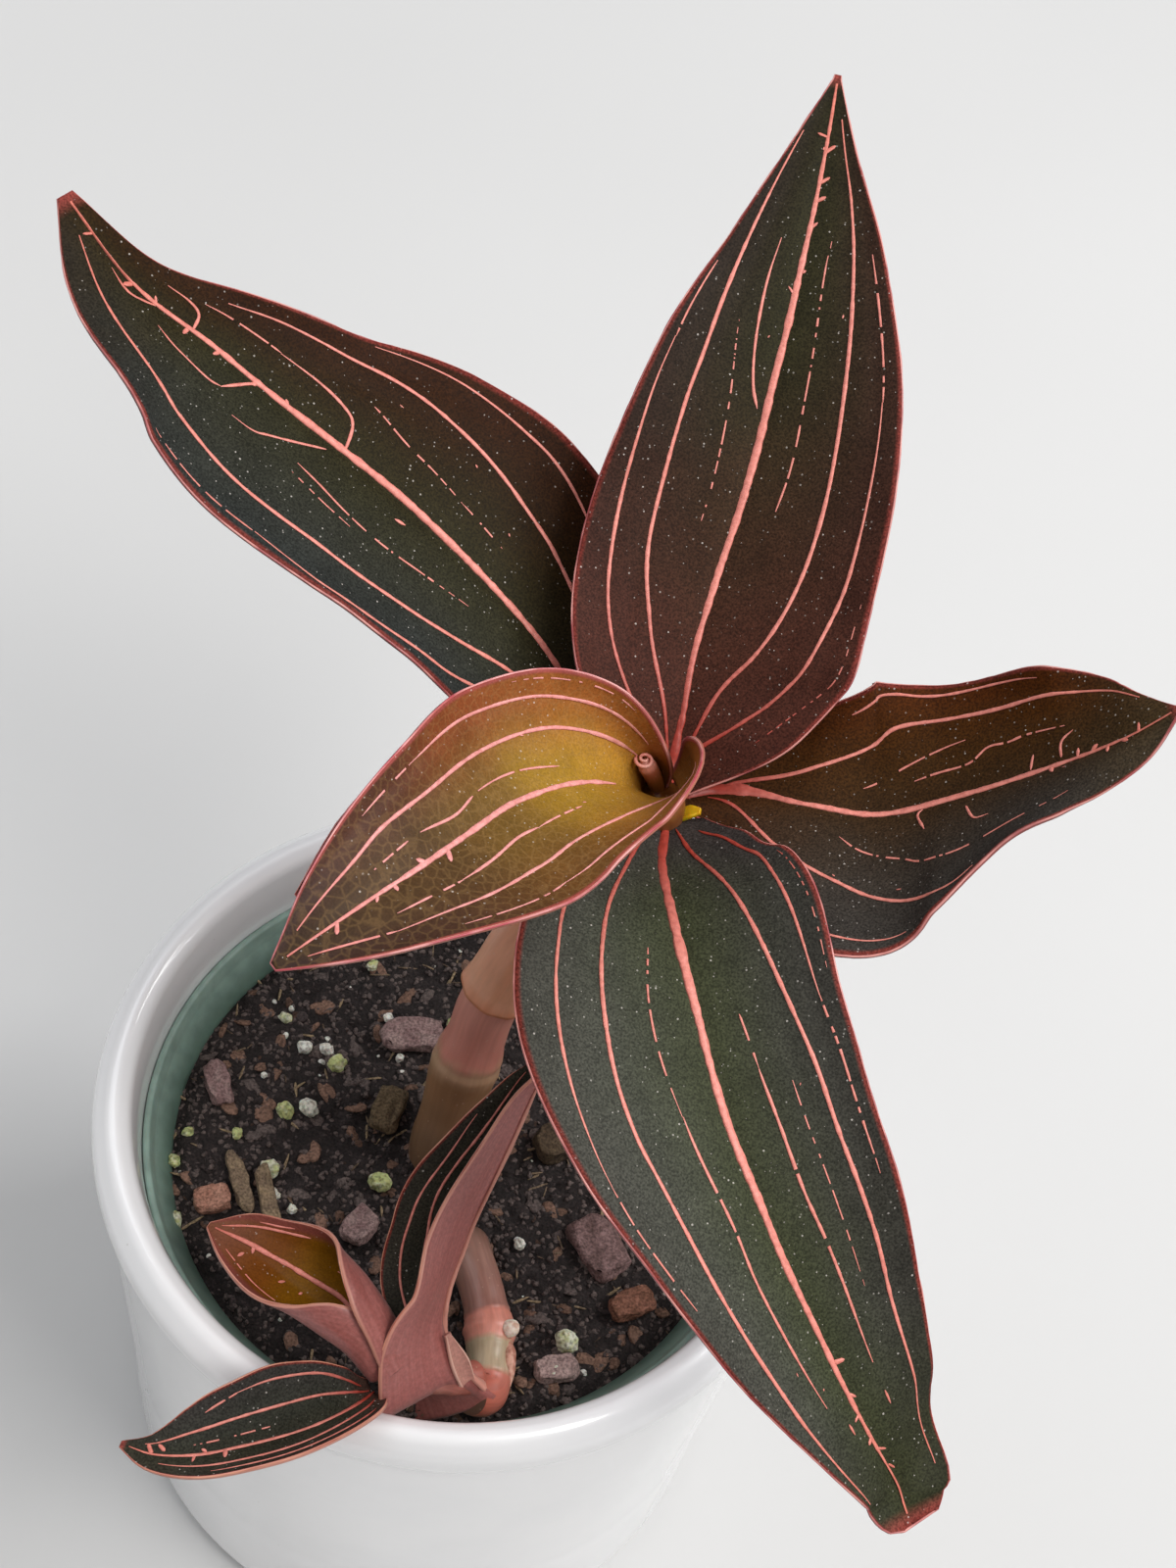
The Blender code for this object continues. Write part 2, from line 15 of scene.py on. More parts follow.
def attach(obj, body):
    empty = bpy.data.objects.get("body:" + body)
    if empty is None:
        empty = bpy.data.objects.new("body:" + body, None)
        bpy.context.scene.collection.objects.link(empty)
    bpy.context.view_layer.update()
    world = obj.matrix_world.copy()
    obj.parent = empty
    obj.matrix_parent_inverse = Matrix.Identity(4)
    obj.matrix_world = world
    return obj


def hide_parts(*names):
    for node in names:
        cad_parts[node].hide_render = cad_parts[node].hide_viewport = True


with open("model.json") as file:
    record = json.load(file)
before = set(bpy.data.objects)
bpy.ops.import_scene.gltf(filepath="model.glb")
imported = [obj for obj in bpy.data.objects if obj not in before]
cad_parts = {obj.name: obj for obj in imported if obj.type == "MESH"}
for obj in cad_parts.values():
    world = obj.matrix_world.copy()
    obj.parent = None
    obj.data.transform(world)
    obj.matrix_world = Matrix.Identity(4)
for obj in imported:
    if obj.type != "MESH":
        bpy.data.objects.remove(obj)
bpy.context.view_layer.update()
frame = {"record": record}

bl_info = {
    "name": "Jewel orchid",
    "version": (1, 0, 0),
    "blender": (4, 5, 0),
    "location": "3D View > Sidebar > Orchid",
    "description": "Makes the leaves, veins, stems, potting mix and pots of a potted jewel orchid",
    "category": "Add Mesh",
}

MM = 0.001
BODY = "root"

# Cachepot and nursery pot, as in the part's source.
POT_HEIGHT = 100.0
LIP_RADIUS = 55.0
LIP_DEPTH = 7.0
BODY_FOOT_RADIUS = 50.6
FOOT_ROUNDING = 4.0
POT_WALL = 3.6
POT_FLOOR = 5.0
# The two pots are drawn closer together here than in the part, where the cachepot's inner wall has a
# radius of 48.8 at its lip and 50.4 below it, and the nursery pot's rim one of 45.8.
CACHE_MOUTH = 47.7
RIM_SEEN = 47.6
NURSERY_RIM_HEIGHT = 89.5
NURSERY_FOOT_RADIUS = 34.0
NURSERY_WALL = 1.0
NURSERY_FLOOR = 1.6
NURSERY_FOOT = 5.3
DRAIN_HOLES = 5
DRAIN_RADIUS = 4.0
DRAIN_RING = 20.0
TURNS = 160

# Potting mix.
SOIL_TOP = 83.0
SOIL_RADIUS = 43.6
SOIL_FOOT_RADIUS = 32.0
SOIL_FOOT = 7.4
SOIL_UNEVEN = 1.3

# A station is a place on a leaf's midrib, with the half widths to its left and right seen from the
# leaf's base, and in degrees how far the blade leans about the midrib, how far each half folds up
# from it, and the arc that the cross-section curls through. Some stations differ from the part's, and
# shoot_leaf_upright's midrib is 11 mm longer than there. Many stations began as points traced on the
# photograph, which a separate script turned into places at assumed heights. Some were moved after that.
Station = namedtuple("Station", "x y z left right lean fold curl")

# A vein has a width in millimetres, how broken it is from 0 to 1, and the places it runs through: each
# is a share of the blade's length from its base, and of the half width from the midrib. Many of the
# places are a separate script's output: it worked them out from points traced on the photograph.
Vein = namedtuple("Vein", "width broken path")

# A leaf has its stations, the way that its upper face looks, its margin's wave (height, waves, phase),
# its veins, its spurs (seed, first place, last place, count) and its two finishes.
Leaf = namedtuple("Leaf", "stations face wave veins spurs upper under")

# How finely a blade is divided along and across.
ALONG = 132
ACROSS = 56

# How wide the veins are drawn, as a share of the widths in the list.
VEIN_FULLNESS = 0.88

# How far a vein's line stands off the blade, how closely it is divided, whole and broken, and how wide
# a vein is from which it is drawn as a midrib, all in millimetres.
VEIN_LIFT = 0.07
VEIN_STEP = 0.55
BROKEN_STEP = 0.3
MIDRIB_WIDTH = 0.9

# Grooves over the main veins: (share of the half width, depth), and how wide each is, in millimetres.
# A blade narrower than this half width has smaller waves and grooves.
GROOVES = ((0.0, 0.30), (0.55, 0.16), (0.8, 0.16))
GROOVE_WIDTH = 1.1
FULL_RELIEF_WIDTH = 8

# The midrib's spurs and the loose flecks: from the least to the greatest, in millimetres, and the share
# of the half width that a spur never passes.
SPUR_REACH = (0.6, 1.7)
SPUR_SLANT = (0.1, 1.3)
SPUR_WIDTH = (0.42, 0.8)
SPUR_LIMIT = 0.6
FLECK_LENGTH = (0.2, 0.7)
FLECK_WIDTH = (0.18, 0.3)

# The margin's cord, sunk this far below the blade's edge and finer on the shoot, and the keel's width at
# its base and how far below the blade it lies, in millimetres.
CORD_DROP = 0.22
SHOOT_CORD_SHARE = 0.55
KEEL_WIDTH = 2.4
KEEL_DROP = 0.1

# How far the mix dips at the pot's wall, and where the dip starts and ends from the wall.
WALL_DIP = 1.2
DIP_START = 2.5
DIP_END = 0.3

# The velvet's cells are finer on the real leaf; they are drawn this many millimetres wide, so they show.
CELL_WIDTH = 0.3
GLINT_SPACING = 0.66

# The point that the lights face, in metres: the middle of the pot's mouth.
LIGHT_AIM = (0, 0, 0.1)

# The backdrop, in metres: half its width, and its outline as (back, up) from the floor to its top.
BACKDROP_HALF_WIDTH = 8.0
BACKDROP = [(-8, 0), (2.2, 0), (2.6, 0.12), (2.85, 0.45), (3, 1.0), (3, 4.0)]
FACE_UP = (0, 0, 1)
FLAT = (0, 0, 0)
NO_SPURS = (0, 0, 0, 0)

LEAVES = {
    "leaf_top": Leaf([
        Station(20.6, 22.3, 157.4, 3, 3, 0, 12, 30),
        Station(20.8, 29, 163.5, 13, 16, 0, 10, 30),
        Station(21, 37, 168.5, 17.5, 22, 0, 8, 30),
        Station(22.5, 47, 174.5, 19.5, 22, 0, 6, 30),
        Station(24.5, 59, 182, 19, 20.5, 0, 6, 25),
        Station(26, 73, 190.5, 16, 17.5, 0, 6, 25),
        Station(27.3, 87, 198, 10.5, 11.5, 0, 6, 20),
        Station(28.2, 101, 203.5, 5, 4.5, 0, 5, 10),
        Station(28.6, 113.8, 207, 0.2, 0.2, 0, 0, 0),
    ], FACE_UP, (0.6, 2.2, 0.5), [
        Vein(1.35, 0, [(0, 0), (0.5, 0.01), (0.985, 0)]),
        Vein(2.4, 0, [(0, 0), (0.1, 0)]),
        Vein(0.66, 0, [(0.02, -0.1), (0.11, -0.2), (0.2, -0.38), (0.3, -0.53), (0.49, -0.61),
                       (0.59, -0.64), (0.78, -0.8), (0.9, -0.9)]),
        Vein(0.6, 0, [(0.03, -0.3), (0.12, -0.55), (0.19, -0.7), (0.28, -0.78), (0.48, -0.88),
                      (0.57, -0.9)]),
        Vein(0.4, 0.5, [(0.57, -0.9), (0.69, -0.94)]),
        Vein(0.66, 0, [(0.02, 0.1), (0.12, 0.2), (0.2, 0.38), (0.29, 0.5), (0.4, 0.55), (0.58, 0.56),
                       (0.76, 0.62), (0.84, 0.66), (0.93, 0.62)]),
        Vein(0.6, 0, [(0.05, 0.2), (0.1, 0.48), (0.14, 0.62), (0.23, 0.73), (0.3, 0.8), (0.39, 0.82),
                      (0.55, 0.85)]),
        Vein(0.5, 0.5, [(0.55, 0.85), (0.75, 0.85)]),
        Vein(0.5, 0, [(0.51, -0.07), (0.54, -0.15), (0.6, -0.24), (0.68, -0.33), (0.74, -0.35)]),
        Vein(0.4, 0.6, [(0.34, -0.22), (0.41, -0.23), (0.52, -0.3), (0.62, -0.45)]),
        Vein(0.42, 0.5, [(0.38, 0.24), (0.47, 0.27), (0.69, 0.27), (0.75, 0.32)]),
        Vein(0.35, 0.75, [(0.08, 0.7), (0.16, 0.88), (0.3, 0.93)]),
    ], (3, 0.66, 0.92, 7), "velvet_maroon_base", "satin_underside"),
    "leaf_upper_left": Leaf([
        Station(16.5, 22.3, 152.5, 3, 3, 0, 12, 30),
        Station(10, 30, 156.5, 11, 12, 0, 10, 30),
        Station(0, 38.3, 164.5, 18, 21, 0, 6, 25),
        Station(-12.8, 44, 173, 21, 24, 0, 5, 25),
        Station(-24.7, 48.5, 180, 23, 22, 0, 5, 20),
        Station(-37, 52, 186.5, 23, 15.5, 0, 4, 20),
        Station(-48.3, 55.8, 192.5, 20, 9.5, 0, 4, 20),
        Station(-60, 59.5, 198, 10.4, 5, 0, 4, 10),
        Station(-70.7, 67.6, 203.8, 1.2, 1.2, 0, 0, 0),
    ], FACE_UP, (0.8, 2.6, 1.0), [
        Vein(1.3, 0, [(0, 0), (0.5, 0.02), (0.99, 0)]),
        Vein(0.66, 0, [(0.04, -0.1), (0.23, -0.42), (0.39, -0.66), (0.58, -0.71), (0.73, -0.66),
                       (0.81, -0.62), (0.92, -0.45), (0.95, -0.4)]),
        Vein(0.55, 0, [(0.06, -0.3), (0.26, -0.78), (0.35, -0.9), (0.48, -0.95), (0.6, -0.92)]),
        Vein(0.4, 0.5, [(0.6, -0.92), (0.75, -0.93)]),
        Vein(0.66, 0, [(0.04, 0.1), (0.26, 0.42), (0.32, 0.5), (0.47, 0.62), (0.59, 0.74), (0.71, 0.8),
                       (0.77, 0.75)]),
        Vein(0.5, 0, [(0.08, 0.4), (0.3, 0.8), (0.42, 0.87), (0.52, 0.92), (0.6, 0.95)]),
        Vein(0.56, 0, [(0.56, 0.02), (0.57, 0.23), (0.59, 0.32), (0.63, 0.4), (0.69, 0.46)]),
        Vein(0.42, 0.45, [(0.69, 0.46), (0.76, 0.55), (0.79, 0.57)]),
        Vein(0.5, 0, [(0.785, 0.02), (0.79, 0.32), (0.81, 0.48), (0.84, 0.55)]),
        Vein(0.55, 0, [(0.69, 0), (0.72, -0.22)]),
        Vein(0.42, 0.4, [(0.72, -0.22), (0.74, -0.25), (0.79, -0.25), (0.82, -0.2)]),
        Vein(0.45, 0, [(0.58, -0.07), (0.64, -0.25), (0.66, -0.31), (0.69, -0.33)]),
        Vein(0.42, 0, [(0.83, 0.02), (0.85, -0.08), (0.87, -0.15), (0.9, -0.1)]),
        Vein(0.45, 0.45, [(0.6, -0.29), (0.57, -0.32), (0.52, -0.37), (0.46, -0.38), (0.39, -0.33),
                          (0.33, -0.28)]),
        Vein(0.38, 0.6, [(0.6, -0.37), (0.55, -0.42), (0.5, -0.44)]),
        Vein(0.42, 0.4, [(0.56, 0.44), (0.51, 0.33), (0.46, 0.29), (0.41, 0.25)]),
        Vein(0.38, 0.5, [(0.41, 0.25), (0.34, 0.23)]),
        Vein(0.55, 0, [(0.45, -0.13), (0.465, -0.15)]),
    ], (11, 0.62, 0.95, 7), "velvet_brown_margin", "satin_underside"),
    "leaf_right": Leaf([
        Station(22.4, 21.8, 157, 2.4, 2.4, 0, 12, 30),
        Station(29.7, 23.6, 158, 9, 13, -6, 10, 30),
        Station(39.2, 21.8, 160, 14, 24, -8, 8, 30),
        Station(48.6, 20.8, 162, 17.6, 26, -6, 8, 30),
        Station(56.3, 21.2, 167, 17, 22, 0, 8, 30),
        Station(63.5, 21.5, 173, 15.5, 14.5, 0, 8, 20),
        Station(70, 21.5, 179.5, 13, 10, 0, 8, 20),
        Station(76, 21.5, 186.5, 8.5, 5.5, 0, 5, 10),
        Station(81, 23, 192, 0.25, 0.25, 0, 0, 0),
    ], FACE_UP, (1.2, 2.6, 2.0), [
        Vein(1.25, 0, [(0, 0), (0.5, 0.01), (0.985, 0)]),
        Vein(3.6, 0, [(0, 0), (0.2, 0)]),
        Vein(0.66, 0, [(0.07, -0.05), (0.16, -0.2), (0.22, -0.32), (0.3, -0.46), (0.38, -0.57), (0.47, -0.67),
                       (0.65, -0.69), (0.83, -0.77), (0.94, -0.85)]),
        Vein(0.45, 0, [(0.3, -0.84), (0.36, -0.88), (0.45, -0.92), (0.51, -0.9), (0.64, -0.92),
                       (0.73, -0.9)]),
        Vein(0.66, 0, [(0.05, 0.15), (0.16, 0.3), (0.28, 0.43), (0.34, 0.5), (0.4, 0.6), (0.49, 0.77),
                       (0.56, 0.9), (0.6, 0.93)]),
        Vein(0.5, 0, [(0.12, 0.5), (0.22, 0.76), (0.3, 0.84), (0.36, 0.88), (0.45, 0.93)]),
        Vein(0.42, 0.5, [(0.35, -0.2), (0.46, -0.35), (0.52, -0.43), (0.58, -0.47)]),
        Vein(0.45, 0.25, [(0.46, -0.2), (0.51, -0.23), (0.57, -0.25), (0.61, -0.35), (0.65, -0.35),
                          (0.69, -0.38), (0.77, -0.38)]),
        Vein(0.42, 0.4, [(0.32, 0.18), (0.36, 0.26), (0.43, 0.35), (0.48, 0.45), (0.61, 0.6),
                         (0.71, 0.65), (0.78, 0.62)]),
        Vein(0.45, 0, [(0.47, 0.04), (0.46, 0.08), (0.475, 0.2)]),
        Vein(0.42, 0, [(0.56, 0.14), (0.58, 0.3), (0.61, 0.34)]),
        Vein(0.42, 0, [(0.755, -0.06), (0.76, -0.22), (0.785, -0.32)]),
        Vein(0.42, 0, [(0.69, -0.03), (0.7, -0.16)]),
    ], (21, 0.72, 0.95, 6), "velvet_amber_margin", "satin_underside"),
    "leaf_lower": Leaf([
        Station(21.4, 17.8, 157.5, 4.6, 2.4, 0, 10, 30),
        Station(20.8, 13, 159.5, 11, 8, 0, 10, 30),
        Station(20.9, 7, 161, 15.6, 13, 0, 8, 30),
        Station(23.2, -2, 163, 18.5, 21, 0, 6, 30),
        Station(27.5, -14, 162, 18.5, 25, 0, 6, 30),
        Station(33, -26, 158, 18.5, 23, 0, 6, 30),
        Station(40, -36.2, 152, 17.5, 18.5, 0, 6, 25),
        Station(48, -45.5, 144, 15.5, 14, 0, 6, 20),
        Station(57, -54, 134.5, 12, 8.5, 0, 5, 15),
        Station(62.8, -58.1, 127.6, 8.1, 5.8, 0, 2, 20),
        Station(64.4, -60.4, 125.7, 6.0, 4.8, 0, 1, 20),
        Station(65.4, -61.8, 124.6, 4.9, 3.4, 0, 0, 20),
        Station(65.9, -62.4, 124.1, 4.2, 1.3, 0, 0, 20),
    ], FACE_UP, (0.7, 2.0, 0.0), [
        Vein(1.4, 0, [(0, 0), (0.5, 0.01), (0.985, 0)]),
        Vein(2.1, 0, [(0, 0), (0.4, 0.01)]),
        Vein(0.68, 0, [(0.03, 0.15), (0.07, 0.3), (0.15, 0.42), (0.23, 0.48), (0.33, 0.52), (0.43, 0.57),
                       (0.5, 0.58), (0.67, 0.67), (0.76, 0.73), (0.93, 0.9)]),
        Vein(0.55, 0, [(0.05, 0.5), (0.14, 0.72), (0.23, 0.75), (0.31, 0.77), (0.4, 0.82), (0.47, 0.87)]),
        Vein(0.42, 0.45, [(0.47, 0.87), (0.53, 0.9), (0.62, 0.89)]),
        Vein(0.68, 0, [(0.03, -0.15), (0.12, -0.38), (0.21, -0.5), (0.3, -0.6), (0.41, -0.68),
                       (0.53, -0.7), (0.64, -0.72), (0.77, -0.71), (0.95, -0.78)]),
        Vein(0.58, 0, [(0.03, -0.5), (0.07, -0.78), (0.16, -0.79), (0.24, -0.81), (0.33, -0.85)]),
        Vein(0.45, 0.4, [(0.33, -0.85), (0.44, -0.88), (0.58, -0.89)]),
        Vein(0.42, 0.35, [(0.23, 0.2), (0.29, 0.25), (0.36, 0.27), (0.43, 0.26)]),
        Vein(0.5, 0.12, [(0.43, 0.26), (0.56, 0.27), (0.64, 0.32), (0.8, 0.38)]),
        Vein(0.4, 0.4, [(0.33, -0.27), (0.4, -0.3)]),
        Vein(0.52, 0.08, [(0.4, -0.3), (0.47, -0.32), (0.56, -0.32), (0.64, -0.35), (0.79, -0.35)]),
        Vein(0.35, 0.7, [(0.12, -0.93), (0.22, -0.94), (0.3, -0.94)]),
        Vein(0.35, 0.7, [(0.42, -0.5), (0.55, -0.52), (0.7, -0.52)]),
        Vein(0.45, 0, [(0.83, -0.36), (0.85, -0.37)]),
        Vein(0.45, 0, [(0.835, 0.24), (0.85, 0.25)]),
    ], (31, 0.76, 0.94, 6), "velvet_olive_centre", "satin_underside"),
    "leaf_young": Leaf([
        Station(17.8, 17.8, 159.5, 8, 5, 0, 0, 280),
        Station(16.5, 15.5, 166, 13, 9, 0, 0, 270),
        Station(13.5, 11.8, 171.5, 14.5, 13, 0, 0, 210),
        Station(7.5, 7, 177, 16, 15.5, 0, 0, 130),
        Station(0.2, -0.5, 181.5, 16.5, 15.5, 0, 0, 90),
        Station(-5.5, -9.5, 185, 15.5, 13.5, 0, 0, 80),
        Station(-11.5, -18, 187.5, 11, 10.5, 0, 0, 70),
        Station(-17.8, -25.5, 188, 6, 6, 0, 0, 50),
        Station(-24, -31.5, 186, 0.5, 0.5, 0, 0, 20),
    ], (0.55, 0.45, 0.7), FLAT, [
        Vein(0.95, 0, [(0.2, 0.02), (0.5, 0), (0.975, 0)]),
        Vein(0.6, 0, [(0.12, 0.48), (0.32, 0.52), (0.5, 0.5), (0.62, 0.52), (0.73, 0.56), (0.81, 0.53),
                      (0.94, 0.55)]),
        Vein(0.5, 0, [(0.14, 0.76), (0.28, 0.77), (0.42, 0.8), (0.51, 0.81), (0.62, 0.83)]),
        Vein(0.4, 0.4, [(0.62, 0.83), (0.75, 0.83)]),
        Vein(0.4, 0.35, [(0.33, 0.18), (0.42, 0.23), (0.53, 0.23)]),
        Vein(0.45, 0, [(0.53, 0.23), (0.59, 0.2), (0.67, 0.27)]),
        Vein(0.4, 0.5, [(0.7, 0.28), (0.79, 0.27)]),
        Vein(0.4, 0.3, [(0.35, -0.25), (0.47, -0.28)]),
        Vein(0.48, 0, [(0.47, -0.28), (0.54, -0.26), (0.67, -0.32)]),
        Vein(0.4, 0.4, [(0.67, -0.32), (0.8, -0.36)]),
        Vein(0.55, 0, [(0.15, -0.5), (0.47, -0.56), (0.58, -0.54), (0.68, -0.57), (0.82, -0.62)]),
        Vein(0.42, 0.35, [(0.82, -0.62), (0.95, -0.5)]),
        Vein(0.48, 0, [(0.14, -0.8), (0.42, -0.84), (0.55, -0.81)]),
        Vein(0.4, 0.4, [(0.55, -0.81), (0.74, -0.85)]),
        Vein(0.35, 0.6, [(0.2, 0.92), (0.38, 0.93)]),
    ], (41, 0.62, 0.9, 5), "velvet_amber", "young_underside"),
    "leaf_behind": Leaf([
        Station(10.8, 18.6, 146.5, 3, 3, 0, 10, 30),
        Station(5, 19, 149, 9, 9, 0, 8, 30),
        Station(-3, 18, 152.5, 12, 10, 0, 8, 30),
        Station(-11, 14, 154.5, 12, 8.5, 0, 8, 30),
        Station(-19, 8, 154, 8, 4.5, 0, 6, 20),
        Station(-26.3, 0.2, 150, 0.5, 0.5, 0, 0, 0),
    ], FACE_UP, FLAT, [
        Vein(0.9, 0, [(0, 0), (0.97, 0)]),
        Vein(0.5, 0, [(0.05, 0.2), (0.3, 0.5), (0.7, 0.6), (0.9, 0.6)]),
        Vein(0.5, 0, [(0.05, -0.2), (0.3, -0.5), (0.7, -0.6), (0.9, -0.6)]),
        Vein(0.4, 0, [(0.1, 0.6), (0.3, 0.8), (0.7, 0.85)]),
        Vein(0.4, 0, [(0.1, -0.6), (0.3, -0.8), (0.7, -0.85)]),
        Vein(0.36, 0.5, [(0.3, 0.25), (0.8, 0.3)]),
        Vein(0.36, 0.5, [(0.3, -0.25), (0.8, -0.3)]),
    ], (51, 0.6, 0.9, 6), "velvet_brown_margin", "satin_underside"),
    "shoot_leaf_over_rim": Leaf([
        Station(-5.6, -46.2, 98.6, 2, 2, 0, 10, 60),
        Station(-7.5, -49, 101, 4, 5, 0, 25, 40),
        Station(-11.3, -52.6, 103, 5, 8, 0, 30, 30),
        Station(-16.5, -56.2, 104.5, 5.5, 9.5, 0, 28, 30),
        Station(-22, -59.2, 105.5, 5, 8.5, 0, 25, 30),
        Station(-27.5, -61.5, 106, 4, 6.5, 0, 20, 20),
        Station(-33, -62.5, 106.3, 2.4, 3, 0, 10, 10),
        Station(-37.6, -61.8, 106.3, 0.4, 0.4, 0, 0, 0),
    ], FACE_UP, FLAT, [
        Vein(0.62, 0, [(0, 0), (0.3, -0.1), (0.53, -0.05), (0.97, 0)]),
        Vein(0.45, 0, [(0.02, 0.22), (0.22, 0.4), (0.4, 0.4), (0.56, 0.43), (0.73, 0.45), (0.92, 0.5)]),
        Vein(0.42, 0, [(0.05, 0.5), (0.19, 0.78), (0.38, 0.8), (0.56, 0.82)]),
        Vein(0.36, 0.3, [(0.56, 0.82), (0.7, 0.72)]),
        Vein(0.4, 0, [(0.05, -0.4), (0.34, -0.55), (0.6, -0.55), (0.86, -0.5)]),
        Vein(0.34, 0, [(0.1, -0.8), (0.4, -0.82), (0.7, -0.8)]),
        Vein(0.34, 0.55, [(0.45, 0.15), (0.75, 0.2)]),
    ], (61, 0.6, 0.93, 5), "velvet_shoot", "shoot_underside"),
    "shoot_leaf_rolled": Leaf([
        Station(-5.2, -42.3, 98, 9, 10, 0, 0, 390),
        Station(-8.5, -39.5, 100.5, 12, 13.5, 0, 0, 380),
        Station(-13, -37, 102, 13, 15, 0, 0, 330),
        Station(-18, -34.8, 103, 9, 11.5, 0, 0, 215),
        Station(-24, -32.2, 104.5, 6, 7, 0, 0, 100),
        Station(-28.6, -30.3, 105.5, 3.5, 4.5, 0, 0, 60),
        Station(-32.5, -28.7, 106, 0.4, 0.4, 0, 0, 20),
    ], (0.1, -0.1, 1), FLAT, [
        Vein(0.8, 0, [(0.2, 0.1), (0.36, 0.15), (0.75, 0.18), (0.97, 0.1)]),
        Vein(0.4, 0, [(0.6, 0.74), (0.77, 0.7), (0.95, 0.45)]),
        Vein(0.3, 0, [(0.68, 0.86), (0.82, 0.8)]),
        Vein(0.3, 0.2, [(0.5, -0.62), (0.7, -0.62), (0.9, -0.5)]),
    ], (71, 0.45, 0.9, 4), "amber_inside", "shoot_underside"),
    "shoot_leaf_upright": Leaf([
        Station(11, -40.6, 89, 4, 14, 0, 70, 40),
        Station(5.2, -40.5, 96.5, 5, 12.6, 0, 85, 40),
        Station(1.8, -37, 101.5, 6, 11, 0, 70, 40),
        Station(1.3, -32.6, 104.5, 9, 9, 0, 46, 40),
        Station(2.6, -26.9, 108, 10, 8.5, 0, 56, 30),
        Station(3.8, -22.4, 111, 10, 7.5, 0, 62, 20),
        Station(6.9, -14.3, 116.5, 7.5, 5.5, 0, 66, 10),
        Station(9, -7.5, 120.5, 4, 3, 0, 60, 10),
        Station(10.2, -2.5, 123.5, 0.4, 0.4, 0, 0, 0),
    ], (-0.8, 0.0, 0.6), FLAT, [
        Vein(0.6, 0, [(0.22, 0), (0.97, 0)]),
        Vein(0.46, 0, [(0.25, -0.3), (0.44, -0.42), (0.58, -0.55), (0.68, -0.57), (0.8, -0.55),
                       (0.94, -0.6)]),
        Vein(0.4, 0, [(0.26, -0.5), (0.35, -0.65), (0.45, -0.77), (0.55, -0.76), (0.66, -0.76),
                      (0.8, -0.86)]),
        Vein(0.4, 0, [(0.26, 0.4), (0.6, 0.6), (0.92, 0.6)]),
    ], NO_SPURS, "velvet_shoot", "shoot_underside"),
    "shoot_bract": Leaf([
        Station(7.2, -41.3, 95.0, 1.1, 1.1, 0, 0, 60),
        Station(5.6, -40.0, 98.6, 1.2, 1.2, 0, 0, 60),
        Station(3.4, -37.9, 102.6, 0.3, 0.3, 0, 0, 20),
    ], (0.6, -0.6, 0.5), FLAT, [], NO_SPURS, "bract_skin", "bract_skin"),
    "yellow_bract": Leaf([
        Station(21.9, 17.9, 157.4, 0.8, 0.8, 0, 0, 40),
        Station(23.6, 17.8, 159.4, 0.9, 0.9, 0, 0, 40),
        Station(25.0, 17.7, 160.2, 0.4, 0.4, 0, 0, 20),
    ], FACE_UP, FLAT, [], NO_SPURS, "yellow_bract", "yellow_bract"),
}

# A rolled leaf's halves wrap over each other: the right half turns further and tighter, the left half
# lies round it, so its curl and its radius grow by these shares where the blade is fully rolled.
ROLLED = {"leaf_young": (0.42, 0.45, 0.86, 1.1), "shoot_leaf_rolled": (0.1, 0.0, 1.06, 0.9)}
ROLL_STARTS = 140
ROLL_FULL = 270

# Stems: points on the axis with the radius there.
Ring = namedtuple("Ring", "x y z radius")

MAIN_STEM = [
    Ring(-3, -1, 76, 4.4),
    Ring(-2.6, 0.2, 84, 4.6),
    Ring(-1.7, 3.7, 90.5, 4.6),
    Ring(-0.8, 7, 97, 5.1),
    Ring(0.4, 9.6, 104, 4.5),
    Ring(1.6, 12, 111, 4.4),
    Ring(5.5, 15, 124, 3.6),
    Ring(12, 17.3, 139, 3.5),
    Ring(17.2, 18.2, 150, 3.4),
    Ring(19.2, 18.5, 157.5, 3.0),
]
SHEATH_PATH = [
    Ring(2.1, 12.5, 113, 5.0),
    Ring(5.5, 15, 124, 4.8),
    Ring(8.6, 16.4, 131.5, 4.4),
    Ring(13.6, 17.6, 142.5, 4.1),
]
SHEATH_WALL = 0.6
RHIZOME = [
    Ring(4.6, -13, 79, 3.0),
    Ring(4.7, -17.2, 84.6, 3.4),
    Ring(7.2, -23, 86, 3.3),
    Ring(8.8, -27.4, 86, 3.3),
    Ring(9.4, -29.5, 86, 4.0),
    Ring(9.6, -31.4, 86, 3.3),
    Ring(9.9, -34.5, 86, 3.1),
    Ring(10.1, -37.4, 86, 3.4),
    Ring(9.6, -39.2, 86.6, 3.5),
    Ring(8.0, -40.4, 88.2, 3.0),
]
SHOOT_BASE = [
    Ring(9.4, -38.0, 89.5, 2.6),
    Ring(5.5, -39.8, 92.0, 2.4),
    Ring(1.0, -41.5, 95.0, 2.4),
    Ring(-3.6, -43.2, 97.6, 2.0),
]
AERIAL_ROOT = [
    Ring(11.2, -30.0, 88.2, 1.3),
    Ring(12.5, -29.6, 88.8, 1.3),
    Ring(13.6, -29.2, 88.4, 0.8),
]
ROOT_SCALE = [
    Ring(12.4, -31.0, 87.6, 1.0),
    Ring(13.0, -34.4, 87.2, 0.9),
    Ring(13.6, -37.6, 86.4, 0.4),
]
NEW_LEAF_ROLL = [
    Ring(19.2, 18.4, 158.2, 0.8),
    Ring(18.8, 18.4, 162.5, 1.0),
    Ring(17.5, 17.7, 166.8, 1.2),
    Ring(16.2, 17.2, 169.8, 1.25),
]

# The rolled leaf's edge, coiled on the mouth of the roll: its turns, thickness and how far it rises.
COIL_TURNS = 1.6
COIL_CORD = 0.26
COIL_RISE = 0.9

